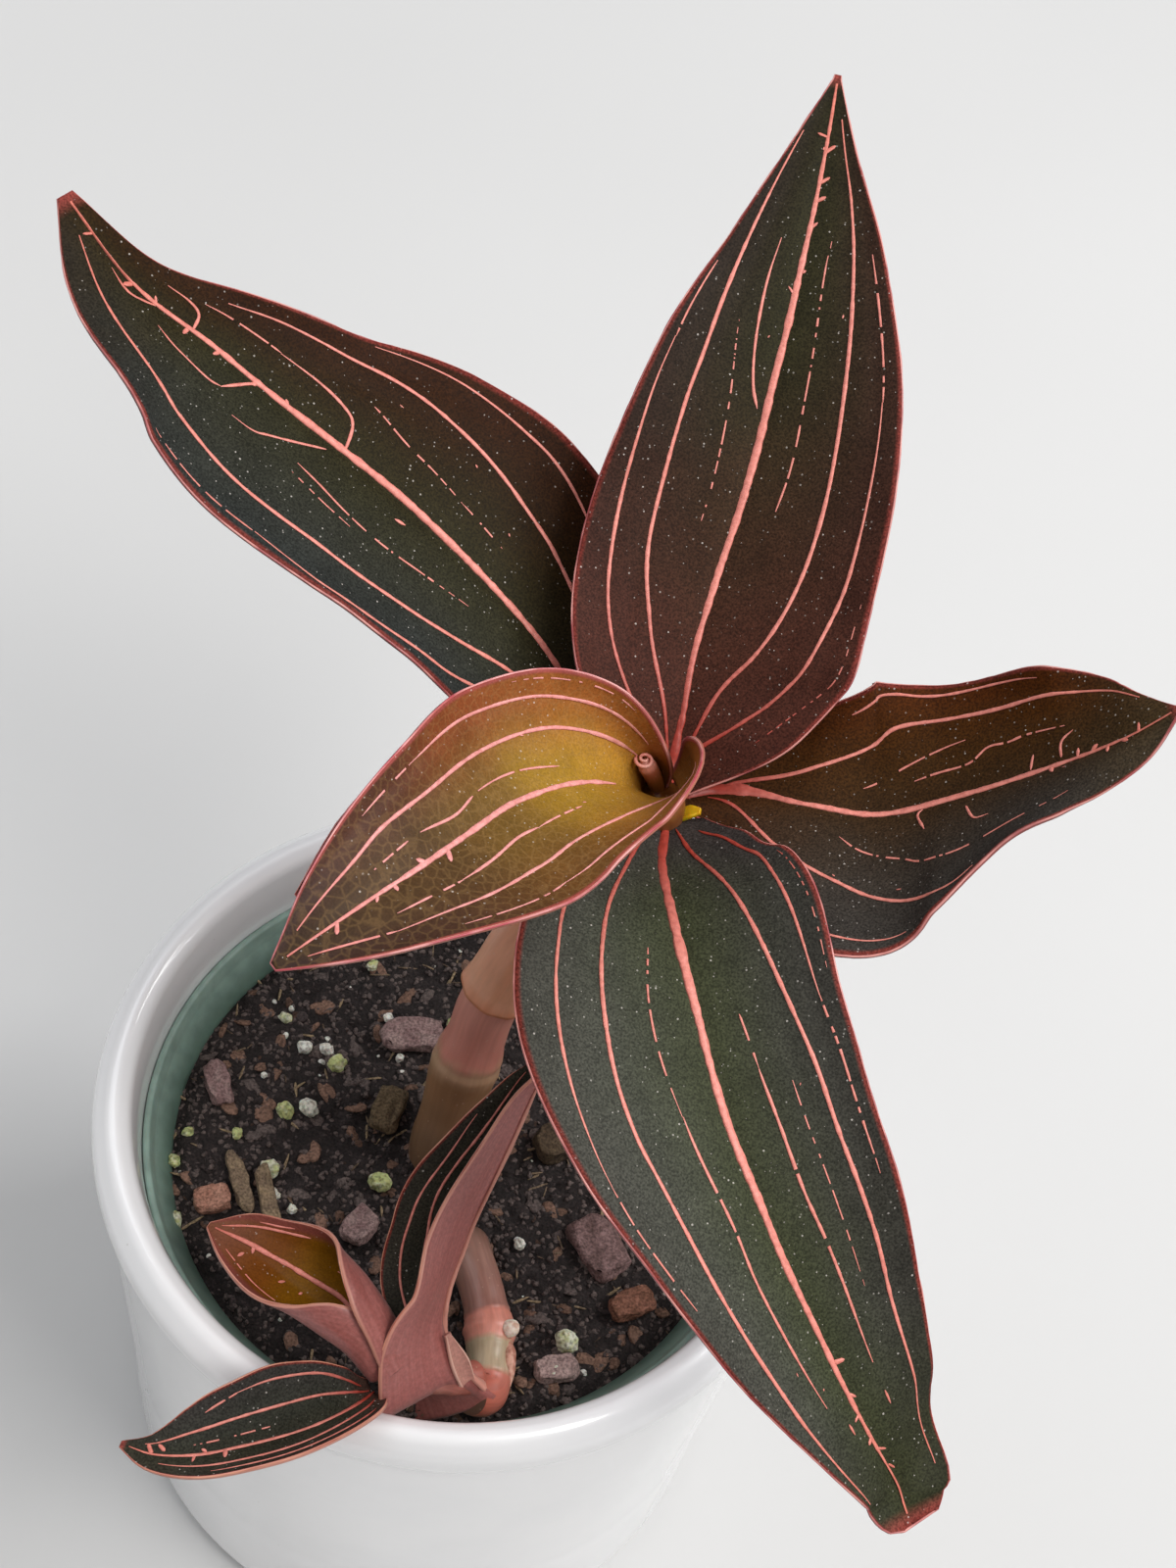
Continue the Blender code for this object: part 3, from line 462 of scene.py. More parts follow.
# The foot of the young leaf, which sheathes the top of the stem. Its skin is painted dark, as shade, and
# turns amber towards its top.
LEAF_FOOT = [
    Ring(18.9, 18.0, 150.0, 3.4),
    Ring(19.4, 17.6, 155.5, 3.6),
    Ring(19.4, 17.6, 160.0, 3.6),
    Ring(18.8, 17.4, 163.0, 2.8),
]

# Loose pieces that lie on the mix: middle, length, width, thickness and turn in degrees.
Chip = namedtuple("Chip", "x y length width thickness turn")
BARK_CHIPS = [
    Chip(-9.6, 18.4, 11.5, 6.5, 2.2, 10),
    Chip(-38.0, 4.6, 9.0, 4.2, 2.0, 115),
    Chip(-35.0, -14.9, 6.5, 5.0, 2.2, 20),
    Chip(-12.3, -15.6, 7.0, 5.4, 2.6, 60),
    Chip(-11.3, 4.6, 9.0, 5.5, 2.4, 80),
    Chip(24.0, -12.6, 12.0, 8.0, 2.6, -50),
    Chip(30.0, -21.0, 8.0, 5.0, 2.4, 30),
    Chip(20.0, -33.0, 7.5, 4.6, 2.2, 15),
    Chip(16.0, 4.0, 10.0, 7.0, 3.0, 35),
    Chip(3.0, 31.0, 11.0, 7.0, 2.6, -20),
]
WOOD_SLIVERS = [
    Chip(-31.4, -11.6, 12.0, 2.1, 1.8, 118),
    Chip(-24.9, -18.6, 26.0, 2.1, 1.8, 111),
]
CHIP_GAP = 0.3
SLIVER_LIFT = 0.9

# Grains of perlite that lie in sight on the mix: place, width, and how green with algae each is.
Grain = namedtuple("Grain", "x y width green")
PERLITE = [
    Grain(-26, 13.5, 2.6, 0.1), Grain(-22.5, 14, 2.5, 0.1), Grain(-20.5, 11.5, 2.9, 0.7),
    Grain(-23.5, 3, 2.9, 0.3), Grain(-27, 2, 2.5, 0.8), Grain(-27.5, -8, 3.1, 0.5),
    Grain(-10.5, -7.5, 3.6, 0.8), Grain(-3.5, 21.5, 2.5, 0.8), Grain(-2, 25, 2.4, 1.0),
    Grain(-8.5, 20.5, 1.9, 0.6), Grain(-14, 21, 2.0, 0.0), Grain(-11, 14.5, 1.6, 0.1),
    Grain(-42, -9, 2.3, 0.8), Grain(-41, -4, 1.7, 0.8), Grain(-33.5, -3, 1.9, 0.8),
    Grain(-40, -18.5, 3.2, 0.6), Grain(-23, -14, 1.8, 0.3), Grain(-26, -12, 2.1, 0.3),
    Grain(-15.5, -23, 2.4, 0.7), Grain(21, -28.5, 3.6, 0.5), Grain(20, -33.5, 3.2, 0.4),
    Grain(-5, -36, 2.2, 0.1), Grain(-19, -28, 2.0, 0.2), Grain(-30, 18, 1.9, 0.5),
    Grain(12, -14, 2.0, 0.2), Grain(33, -6, 2.4, 0.4), Grain(24, 14, 2.8, 0.3),
    Grain(12, 30, 2.4, 0.5), Grain(30, 22, 2.2, 0.2), Grain(-18, 30, 2.3, 0.6),
]

# The photograph's frame, and where the middle of the pot's mouth lies in it.
IMAGE_SIZE = (1200, 1600)
MOUTH_PIXEL = (472.5, 1124.0)
FOCAL_PIXELS = 2600.0
VIEW_DISTANCE = 385.0
VIEW_ELEVATION = 62.5
VIEW_ROLL = 9.3
SENSOR = 36.0


# Small maths

def linear(hex_colour):
    """Turn an sRGB hex colour to the linear colour that a shader takes."""
    found = []
    for start in (1, 3, 5):
        value = int(hex_colour[start:start + 2], 16) / 255
        found.append(value / 12.92 if value <= 0.04045 else ((value + 0.055) / 1.055) ** 2.4)
    return (*found, 1.0)


def unit(vector):
    return vector / np.linalg.norm(vector)


def smooth_row(rows, per_span=10):
    """Run a Catmull-Rom curve through rows of numbers."""
    rows = np.array(rows, float)
    padded = np.vstack([2 * rows[0] - rows[1], rows, 2 * rows[-1] - rows[-2]])
    found = []
    for before, start, end, after in zip(padded, padded[1:], padded[2:], padded[3:]):
        for step in range(per_span):
            t = step / per_span
            found.append(0.5 * (2 * start + (end - before) * t
                                + (2 * before - 5 * start + 4 * end - after) * t ** 2
                                + (3 * start - before - 3 * end + after) * t ** 3))
    found.append(rows[-1])
    return np.array(found)


def even_steps(rows, count, width=3):
    """Read a smooth row at evenly spaced places; its first numbers are a place in space."""
    fine = smooth_row(rows)
    steps = np.linalg.norm(np.diff(fine[:, :width], axis=0), axis=1)
    along = np.concatenate([[0.0], np.cumsum(steps)])
    places = np.linspace(0.0, along[-1], count)
    return np.stack([np.interp(places, along, fine[:, k]) for k in range(fine.shape[1])], axis=1)


def ease(value, low, high):
    """Rise smoothly from 0 at low to 1 at high."""
    share = min(max((value - low) / (high - low), 0), 1)
    return share * share * (3 - 2 * share)


def rough(point, size, seed=0.0):
    """Smooth noise from -1 to 1 at a point in millimetres, with lumps of the given size."""
    return noise.noise(Vector(point) / size + Vector((seed, 2.3 * seed, -1.7 * seed)))


# Leaf blades

class Blade:
    """A leaf's upper surface, read at any place along it (0 to 1) and across it (-1 to 1)."""

    def __init__(self, name, leaf):
        self.leaf = leaf
        self.roll = ROLLED.get(name)
        rows = even_steps(leaf.stations, ALONG + 1)
        self.middle = rows[:, :3]
        self.numbers = rows[:, 3:]
        self.length = np.linalg.norm(np.diff(self.middle, axis=0), axis=1).sum()
        sides, ups = [], []
        for tangent, lean in zip(np.gradient(self.middle, axis=0), np.radians(rows[:, 5])):
            tangent = unit(tangent)
            side = unit(np.cross(tangent, leaf.face))
            up = np.cross(side, tangent)
            sides.append(side * math.cos(lean) + up * math.sin(lean))
            ups.append(up * math.cos(lean) - side * math.sin(lean))
        self.sides = np.array(sides)
        self.ups = np.array(ups)

    def mixed(self, rows, along):
        where = min(max(along, 0), 1) * ALONG
        low = min(int(where), ALONG - 1)
        part = where - low
        return rows[low] * (1 - part) + rows[low + 1] * part

    def half_width(self, along, place):
        left, right = self.mixed(self.numbers, along)[:2]
        return max(left if place < 0 else right, 0.4)

    def offsets(self, along, place):
        """How far out and how far up from the midrib the blade is."""
        fold, curl = self.mixed(self.numbers, along)[3:5]
        half_width = self.half_width(along, place)
        if self.roll:
            rolled = ease(curl, ROLL_STARTS, ROLL_FULL)
            more_right, more_left, tighter, looser = self.roll
            curl *= 1 + rolled * (more_right if place > 0 else more_left)
            half_width *= 1 + rolled * ((tighter if place > 0 else looser) - 1) * abs(place)
        reach = abs(place)
        half_arc = max(math.radians(curl) / 2, 0.001)
        out = math.sin(reach * half_arc) / half_arc * half_width
        up = (1 - math.cos(reach * half_arc)) / half_arc * half_width
        turn = math.radians(fold)
        return out * math.cos(turn) - up * math.sin(turn), out * math.sin(turn) + up * math.cos(turn)

    def relief(self, along, place, at):
        """Millimetres that the surface stands over the plain blade: its waves, puffs and grooves."""
        height, count, phase = self.leaf.wave
        half_width = self.half_width(along, place)
        size = min(1, half_width / FULL_RELIEF_WIDTH)
        swell = math.sin(2 * math.pi * count * along + phase + (1.3 if place > 0 else 0))
        ripple = 0.45 * rough(at, 9.0, 4.0) * abs(place) ** 2 + 0.22 * rough(at, 16.0, 9.0)
        grooves = 0.0
        for vein, depth in GROOVES:
            away = (abs(place) - vein) * half_width
            grooves += depth * math.exp(-(away / GROOVE_WIDTH) ** 2)
        return size * (height * abs(place) ** 3 * swell + ripple - grooves)

    def point(self, along, place):
        out, up = self.offsets(along, place)
        at = (self.mixed(self.middle, along) + unit(self.mixed(self.sides, along)) * out * np.sign(place))
        lift = unit(self.mixed(self.ups, along))
        return at + lift * (up + self.relief(along, place, at + lift * up))

    def normal(self, along, place):
        """The way out of the upper surface."""
        step = 0.004
        ahead = self.point(min(along + step, 1), place) - self.point(max(along - step, 0), place)
        beside = (self.point(along, min(place + 2 * step, 1)) - self.point(along, max(place - 2 * step, -1)))
        return unit(np.cross(beside, ahead))


# Meshes

def new_object(name, mesh):
    made = bpy.data.objects.new(name, mesh)
    bpy.context.scene.collection.objects.link(made)
    return made


def sheet_mesh(name, rows, closed=False, caps=False):
    """A mesh of quads through rows of points in millimetres, with a UV map that follows it."""
    rows = np.asarray(rows)
    count, wide = rows.shape[:2]
    mesh = bpy.data.meshes.new(name)
    shape = bmesh.new()
    layer = shape.loops.layers.uv.new("blade")
    grid = [[shape.verts.new(point * MM) for point in row] for row in rows]
    spans = wide if closed else wide - 1
    for low in range(count - 1):
        for left in range(spans):
            right = (left + 1) % wide
            face = shape.faces.new((grid[low][left], grid[low][right], grid[low + 1][right],
                                    grid[low + 1][left]))
            face.smooth = True
            corners = ((low, left), (low, left + 1), (low + 1, left + 1), (low + 1, left))
            for loop, (row, column) in zip(face.loops, corners):
                loop[layer].uv = (row / (count - 1), column / spans)
    if caps:
        shape.faces.new(reversed(grid[0]))
        shape.faces.new(grid[-1])
    if closed:
        bmesh.ops.recalc_face_normals(shape, faces=shape.faces)
    shape.to_mesh(mesh)
    shape.free()
    return mesh


def finish_piece(piece, slot, *nodes):
    """Attach a finished piece to the body that it rides on, and hide the CAD nodes that it stands for. The
    slot is not used.
    """
    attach(piece, BODY)
    if nodes:
        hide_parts(*nodes)


def apply_modifiers(piece):
    """Turn a piece and its modifiers into a plain mesh."""
    bpy.context.view_layer.update()
    ready = piece.evaluated_get(bpy.context.evaluated_depsgraph_get())
    mesh = bpy.data.meshes.new_from_object(ready)
    piece.modifiers.clear()
    piece.data = mesh
    return piece


def turned(name, profile):
    """Turn a profile of (radius, height) pairs about the Z axis into a closed shell."""
    mesh = bpy.data.meshes.new(name)
    shape = bmesh.new()
    rings = []
    for radius, height in profile:
        if radius == 0:
            rings.append([shape.verts.new((0, 0, height * MM))])
            continue
        ring = []
        for number in range(TURNS):
            angle = 2 * math.pi * number / TURNS
            ring.append(shape.verts.new((radius * MM * math.cos(angle), radius * MM * math.sin(angle),
                                         height * MM)))
        rings.append(ring)
    for low, high in zip(rings, rings[1:]):
        for number in range(TURNS):
            after = (number + 1) % TURNS
            corners = [low[number % len(low)], low[after % len(low)], high[after % len(high)],
                       high[number % len(high)]]
            unique = list(dict.fromkeys(corners))
            shape.faces.new(unique).smooth = True
    bmesh.ops.recalc_face_normals(shape, faces=shape.faces)
    shape.to_mesh(mesh)
    shape.free()
    return new_object(name, mesh)


def rounded(points, size, steps=4):
    """Round the corners of a profile, each by the given size or as much as its sides allow."""
    found = [points[0]]
    for before, corner, after in zip(points, points[1:], points[2:]):
        corner, before, after = np.array(corner), np.array(before), np.array(after)
        back, ahead = before - corner, after - corner
        reach = min(size, 0.45 * np.linalg.norm(back), 0.45 * np.linalg.norm(ahead))
        start, end = corner + unit(back) * reach, corner + unit(ahead) * reach
        for step in range(steps + 1):
            t = step / steps
            place = (1 - t) ** 2 * start + 2 * t * (1 - t) * corner + t ** 2 * end
            found.append(tuple(place))
    found.append(points[-1])
    return found


def tube_rows(rings, count, sides, shape_of):
    """Rings of points round a path; shape_of(along, angle, point) is the share of the radius there."""
    places = even_steps(rings, count)
    tangents = np.gradient(places[:, :3], axis=0)
    across = unit(np.cross(tangents[0], (0.3, 1, 0.1)))
    rows = []
    for index, (place, tangent) in enumerate(zip(places, tangents)):
        tangent = unit(tangent)
        across = unit(across - tangent * (across @ tangent))
        over = np.cross(tangent, across)
        along = index / (count - 1)
        row = []
        for number in range(sides):
            angle = 2 * math.pi * number / sides
            way = across * math.cos(angle) + over * math.sin(angle)
            share = shape_of(along, angle, place[:3] + way * place[3])
            row.append(place[:3] + way * place[3] * share)
        rows.append(row)
    return rows


def stem_shape(nodes, depth=0.05, swell=0.08, ends=0.0):
    """A stem's share of its radius: nodes swell and have a scar line, and the skin is uneven."""
    def share(along, angle, point):
        value = 1 + 0.025 * rough(point, 5.0, 3.0) + 0.012 * rough(point, 1.6, 8.0)
        for place in nodes:
            value += swell * math.exp(-((along - place) / 0.035) ** 2)
            value -= depth * math.exp(-((along - place) / 0.007) ** 2)
        if ends:
            value *= math.sqrt(max(ease(along, -0.01, ends) * ease(1.01 - along, 0, ends), 0.02))
        return value
    return share


# Geometry Nodes

def add(tree, kind, wires=None, **settings):
    """Add a node with its settings, and its inputs by name or number: a value or another's output."""
    made = tree.nodes.new(kind)
    for name, value in settings.items():
        setattr(made, name, value)
    for socket, source in (wires or {}).items():
        target = made.inputs[socket]
        if isinstance(source, bpy.types.NodeSocket):
            tree.links.new(source, target)
        else:
            target.default_value = source
    return made


def new_tree(name, sockets):
    """A geometry node tree with named inputs, and its input and output nodes."""
    tree = bpy.data.node_groups.new(name, "GeometryNodeTree")
    tree.is_modifier = True
    tree.interface.new_socket("Geometry", in_out="INPUT", socket_type="NodeSocketGeometry")
    for label, kind, default in sockets:
        socket = tree.interface.new_socket(label, in_out="INPUT", socket_type="NodeSocket" + kind)
        if default is not None:
            socket.default_value = default
    tree.interface.new_socket("Geometry", in_out="OUTPUT", socket_type="NodeSocketGeometry")
    return tree, add(tree, "NodeGroupInput").outputs, add(tree, "NodeGroupOutput").inputs


def run_tree(piece, tree, values):
    """Run a geometry node tree on a piece, and keep the result as its plain mesh."""
    step = piece.modifiers.new(tree.name, "NODES")
    step.node_group = tree
    for item in tree.interface.items_tree:
        if item.in_out == "INPUT" and item.name in values:
            step[item.identifier] = values[item.name]
    return apply_modifiers(piece)


def vein_tree():
    """Veins: flat-oval cords that follow lines on a blade, ragged in width, and broken where asked."""
    tree, given, result = new_tree("veins_on_a_blade", [
        ("Height", "Float", 0.5), ("Ragged", "Float", 0.3), ("Lump", "Float", 0.0016),
        ("Dash", "Float", 0.0011), ("Finish", "Material", None)])
    width = add(tree, "GeometryNodeInputNamedAttribute", {"Name": "width"}, data_type="FLOAT")
    broken = add(tree, "GeometryNodeInputNamedAttribute", {"Name": "broken"}, data_type="FLOAT")
    lift = add(tree, "GeometryNodeInputNamedAttribute", {"Name": "lift"}, data_type="FLOAT_VECTOR")
    place = add(tree, "GeometryNodeInputPosition")
    dash_scale = add(tree, "ShaderNodeMath", {0: 1.0, 1: given["Dash"]}, operation="DIVIDE")
    dashes = add(tree, "ShaderNodeTexNoise", {"Vector": place.outputs[0], "Scale": dash_scale.outputs[0],
                                              "Detail": 1.0})
    spread = add(tree, "ShaderNodeMapRange", {"Value": dashes.outputs["Fac"], "From Min": 0.3,
                                              "From Max": 0.7})
    gap = add(tree, "FunctionNodeCompare", {"A": spread.outputs[0], "B": broken.outputs[0]},
              data_type="FLOAT", operation="LESS_THAN")
    kept = add(tree, "GeometryNodeDeleteGeometry", {"Geometry": given["Geometry"],
                                                    "Selection": gap.outputs[0]}, domain="POINT")
    lines = add(tree, "GeometryNodeMeshToCurve", {"Mesh": kept.outputs[0]})
    facing = add(tree, "GeometryNodeSetCurveNormal", {"Curve": lines.outputs[0],
                                                      "Normal": lift.outputs[0]}, mode="FREE")
    lump_scale = add(tree, "ShaderNodeMath", {0: 1.0, 1: given["Lump"]}, operation="DIVIDE")
    lumps = add(tree, "ShaderNodeTexNoise", {"Vector": place.outputs[0], "Scale": lump_scale.outputs[0],
                                             "Detail": 2.0})
    lump_share = add(tree, "ShaderNodeMapRange", {"Value": lumps.outputs["Fac"], "From Min": 0.3,
                                                  "From Max": 0.7, "To Min": -1.0, "To Max": 1.0})
    uneven = add(tree, "ShaderNodeMath", {0: lump_share.outputs[0], 1: given["Ragged"], 2: 1.0},
                 operation="MULTIPLY_ADD")
    size = add(tree, "ShaderNodeMath", {0: width.outputs[0], 1: uneven.outputs[0]}, operation="MULTIPLY")
    circle = add(tree, "GeometryNodeCurvePrimitiveCircle", {"Resolution": 8, "Radius": 0.5})
    flat = add(tree, "ShaderNodeCombineXYZ", {"X": given["Height"], "Y": 1.0, "Z": 1.0})
    oval = add(tree, "GeometryNodeTransform", {"Geometry": circle.outputs[0], "Scale": flat.outputs[0]})
    cord = add(tree, "GeometryNodeCurveToMesh", {"Curve": facing.outputs[0], "Profile Curve": oval.outputs[0],
                                                 "Scale": size.outputs[0], "Fill Caps": True})
    smooth = add(tree, "GeometryNodeSetShadeSmooth", {"Geometry": cord.outputs[0]})
    whole = add(tree, "GeometryNodeRealizeInstances", {"Geometry": smooth.outputs[0]})
    done = add(tree, "GeometryNodeSetMaterial", {"Geometry": whole.outputs[0],
                                                 "Material": given["Finish"]})
    tree.links.new(done.outputs[0], result["Geometry"])
    return tree


def crumb_tree():
    """Crumbs: lumps of random size, turn and tint, strewn on a surface and made uneven."""
    tree, given, result = new_tree("crumbs_on_the_mix", [
        ("Density", "Float", 1000.0), ("Smallest", "Float", 0.001), ("Largest", "Float", 0.002),
        ("Long", "Float", 1.0), ("Flat", "Float", 1.0), ("Uneven", "Float", 0.3), ("Seed", "Int", 1),
        ("Detail", "Int", 1), ("Sink", "Float", 0.0), ("Finish", "Material", None)])
    points = add(tree, "GeometryNodeDistributePointsOnFaces",
                 {"Mesh": given["Geometry"], "Density": given["Density"], "Seed": given["Seed"]})
    lump = add(tree, "GeometryNodeMeshIcoSphere", {"Radius": 0.5, "Subdivisions": given["Detail"]})
    size = add(tree, "FunctionNodeRandomValue", {2: given["Smallest"], 3: given["Largest"],
                                                 "Seed": given["Seed"]}, data_type="FLOAT")
    long = add(tree, "ShaderNodeMath", {0: size.outputs[1], 1: given["Long"]}, operation="MULTIPLY")
    thin = add(tree, "ShaderNodeMath", {0: size.outputs[1], 1: given["Flat"]}, operation="MULTIPLY")
    scale = add(tree, "ShaderNodeCombineXYZ", {"X": long.outputs[0], "Y": size.outputs[1],
                                               "Z": thin.outputs[0]})
    turn = add(tree, "FunctionNodeRandomValue", {0: (-0.5, -0.5, 0.0), 1: (0.5, 0.5, 6.283),
                                                 "Seed": given["Seed"]}, data_type="FLOAT_VECTOR")
    strewn = add(tree, "GeometryNodeInstanceOnPoints",
                 {"Points": points.outputs["Points"], "Instance": lump.outputs["Mesh"],
                  "Rotation": turn.outputs[0], "Scale": scale.outputs[0]})
    shade = add(tree, "FunctionNodeRandomValue", {2: 0.0, 3: 1.0, "Seed": given["Seed"]}, data_type="FLOAT")
    tinted = add(tree, "GeometryNodeStoreNamedAttribute",
                 {"Geometry": strewn.outputs[0], "Name": "tint", "Value": shade.outputs[1]},
                 data_type="FLOAT", domain="INSTANCE")
    whole = add(tree, "GeometryNodeRealizeInstances", {"Geometry": tinted.outputs[0]})
    place = add(tree, "GeometryNodeInputPosition")
    wrinkle = add(tree, "ShaderNodeTexNoise", {"Vector": place.outputs[0], "Scale": 1300.0, "Detail": 2.0})
    centred = add(tree, "ShaderNodeVectorMath", {0: wrinkle.outputs["Color"], 1: (-0.5, -0.5, -0.5)},
                  operation="ADD")
    reach = add(tree, "ShaderNodeMath", {0: given["Uneven"], 1: given["Largest"]}, operation="MULTIPLY")
    push = add(tree, "ShaderNodeVectorMath", {0: centred.outputs[0], "Scale": reach.outputs[0]},
               operation="SCALE")
    down = add(tree, "ShaderNodeCombineXYZ", {"Z": given["Sink"]})
    offset = add(tree, "ShaderNodeVectorMath", {0: push.outputs[0], 1: down.outputs[0]}, operation="SUBTRACT")
    moved = add(tree, "GeometryNodeSetPosition", {"Geometry": whole.outputs[0], "Offset": offset.outputs[0]})
    smooth = add(tree, "GeometryNodeSetShadeSmooth", {"Geometry": moved.outputs[0]})
    done = add(tree, "GeometryNodeSetMaterial", {"Geometry": smooth.outputs[0], "Material": given["Finish"]})
    tree.links.new(done.outputs[0], result["Geometry"])
    return tree


def grain_tree():
    """Perlite: a pitted, rounded grain at each given point, as wide and as green as the point says."""
    tree, given, result = new_tree("grains_at_points", [
        ("Uneven", "Float", 0.0012), ("Lump", "Float", 0.0011), ("Seed", "Int", 7),
        ("Finish", "Material", None)])
    width = add(tree, "GeometryNodeInputNamedAttribute", {"Name": "width"}, data_type="FLOAT")
    points = add(tree, "GeometryNodeMeshToPoints", {"Mesh": given["Geometry"]})
    lump = add(tree, "GeometryNodeMeshIcoSphere", {"Radius": 0.5, "Subdivisions": 4})
    squash = add(tree, "FunctionNodeRandomValue", {0: (0.75, 0.75, 0.6), 1: (1.15, 1.0, 0.9),
                                                   "Seed": given["Seed"]}, data_type="FLOAT_VECTOR")
    scale = add(tree, "ShaderNodeVectorMath", {0: squash.outputs[0], "Scale": width.outputs[0]},
                operation="SCALE")
    turn = add(tree, "FunctionNodeRandomValue", {0: (0.0, 0.0, 0.0), 1: (0.6, 0.6, 6.283),
                                                 "Seed": given["Seed"]}, data_type="FLOAT_VECTOR")
    put = add(tree, "GeometryNodeInstanceOnPoints",
              {"Points": points.outputs[0], "Instance": lump.outputs["Mesh"], "Rotation": turn.outputs[0],
               "Scale": scale.outputs[0]})
    whole = add(tree, "GeometryNodeRealizeInstances", {"Geometry": put.outputs[0]})
    place = add(tree, "GeometryNodeInputPosition")
    lump_scale = add(tree, "ShaderNodeMath", {0: 1.0, 1: given["Lump"]}, operation="DIVIDE")
    pits = add(tree, "ShaderNodeTexNoise", {"Vector": place.outputs[0], "Scale": lump_scale.outputs[0],
                                            "Detail": 2.0})
    centred = add(tree, "ShaderNodeVectorMath", {0: pits.outputs["Color"], 1: (-0.5, -0.5, -0.5)},
                  operation="ADD")
    push = add(tree, "ShaderNodeVectorMath", {0: centred.outputs[0], "Scale": given["Uneven"]},
               operation="SCALE")
    moved = add(tree, "GeometryNodeSetPosition", {"Geometry": whole.outputs[0], "Offset": push.outputs[0]})
    smooth = add(tree, "GeometryNodeSetShadeSmooth", {"Geometry": moved.outputs[0]})
    done = add(tree, "GeometryNodeSetMaterial", {"Geometry": smooth.outputs[0], "Material": given["Finish"]})
    tree.links.new(done.outputs[0], result["Geometry"])
    return tree


# Materials

def new_material(name, roughness, **sockets):
    """A material with its shader's constant values set on the shader's own sockets."""
    made = bpy.data.materials.new(name)
    made.use_nodes = True
    tree = made.node_tree
    shader = tree.nodes["Principled BSDF"]
    shader.inputs["Roughness"].default_value = roughness
    for label, value in sockets.items():
        shader.inputs[label.replace("_", " ")].default_value = value
    return made, tree, shader


def ramp(tree, factor, stops, interpolation="LINEAR"):
    """A colour ramp through (place, colour) stops, its colours in sRGB hex."""
    made = add(tree, "ShaderNodeValToRGB", {"Fac": factor})
    elements = made.color_ramp.elements
    made.color_ramp.interpolation = interpolation
    while len(elements) < len(stops):
        elements.new(0.5)
    for element, (place, colour) in zip(elements, stops):
        element.position = place
        element.color = linear(colour)
    return made.outputs["Color"]


def blend(tree, factor, low, high, mode="MIX"):
    """Mix two colours, each a socket or an sRGB hex colour."""
    made = add(tree, "ShaderNodeMix", {"Factor": factor}, data_type="RGBA", blend_type=mode)
    for socket, colour in ((made.inputs[6], low), (made.inputs[7], high)):
        if isinstance(colour, str):
            socket.default_value = linear(colour)
        else:
            tree.links.new(colour, socket)
    return made.outputs[2]


def stretch(tree, value, low, high, to_low=0.0, to_high=1.0, smooth=True):
    """Map a value from one range to another."""
    return add(tree, "ShaderNodeMapRange",
               {"Value": value, "From Min": low, "From Max": high, "To Min": to_low, "To Max": to_high},
               interpolation_type="SMOOTHSTEP" if smooth else "LINEAR").outputs[0]


def grain(tree, millimetres, detail=2.0, vector=None, distortion=0.0):
    """Noise on Object coordinates, its lumps of the given size in millimetres."""
    if vector is None:
        vector = add(tree, "ShaderNodeTexCoord").outputs["Object"]
    return add(tree, "ShaderNodeTexNoise", {"Vector": vector, "Scale": 1 / (millimetres * MM),
                                            "Detail": detail, "Distortion": distortion}).outputs["Fac"]


def bump(tree, shader, height, millimetres, strength=1.0):
    """Bump of the given height on the shader."""
    made = add(tree, "ShaderNodeBump", {"Height": height, "Distance": millimetres * MM,
                                        "Strength": strength})
    tree.links.new(made.outputs["Normal"], shader.inputs["Normal"])


# What a blade's upper skin looks like: sRGB colours from its left margin over the midrib to its right
# margin, at its base and at its tip, and how far the base's colour reaches.
Skin = namedtuple("Skin", "left flank_left centre flank_right right base base_reach tip")

SKINS = {
    "velvet_maroon_base": Skin("#382c26", "#362f22", "#35341c", "#383020", "#442a22", "#562e24", 0.66,
                               "#2c2818"),
    "velvet_brown_margin": Skin("#363a3a", "#3a3a30", "#343118", "#34200c", "#40200e", "#322622", 0.3,
                                "#38260c"),
    "velvet_amber_margin": Skin("#5e2c0c", "#50300c", "#463018", "#46403a", "#484440", "#4a2a12", 0.36,
                                "#54442c"),
    # velvet_olive_centre: its grey tones on either side of the olive centre are partly a painted reflection
    # of the pale surroundings on the velvet; the olive is the leaf's own colour.
    "velvet_olive_centre": Skin("#3c3934", "#484840", "#444a2a", "#56584e", "#504e48", "#484240", 0.22,
                                "#3a3c26"),
    "velvet_shoot": Skin("#433e37", "#433f34", "#37382d", "#41413a", "#484341", "#563e36", 0.15,
                         "#3a382d"),
}


def velvet_leaf(name):
    """A mature leaf's upper skin: velvety cells that eat light, with glints on a few of them."""
    skin = SKINS[name]
    made, tree, shader = new_material(name, 0.58, Specular_IOR_Level=0.08)
    uv = add(tree, "ShaderNodeUVMap", uv_map="blade")
    where = add(tree, "ShaderNodeSeparateXYZ", {"Vector": uv.outputs[0]})
    wander = grain(tree, 14, 3.0)
    drift = add(tree, "ShaderNodeMath", {0: wander, 1: 0.16, 2: -0.08}, operation="MULTIPLY_ADD")
    across = add(tree, "ShaderNodeMath", {0: where.outputs["Y"], 1: drift.outputs[0]}, operation="ADD")
    bands = ramp(tree, across.outputs[0], [
        (0.0, skin.left), (0.24, skin.flank_left), (0.5, skin.centre), (0.76, skin.flank_right),
        (1.0, skin.right)], "B_SPLINE")
    along = add(tree, "ShaderNodeMath", {0: where.outputs["X"], 1: drift.outputs[0]}, operation="ADD")
    near_base = stretch(tree, along.outputs[0], 0.02, skin.base_reach, 1.0, 0.0)
    based = blend(tree, near_base, bands, skin.base)
    tipped = blend(tree, stretch(tree, along.outputs[0], 0.72, 1.0, 0.0, 0.8), based, skin.tip)
    edge = edge_share(tree, where.outputs["Y"], 0.006, 0.022)
    reddened = blend(tree, stretch(tree, where.outputs["X"], 0.975, 1.0), tipped, "#a85048")
    edged = blend(tree, edge, reddened, "#8a3c34")
    finish_velvet(tree, shader, edged, 0.42)
    return made


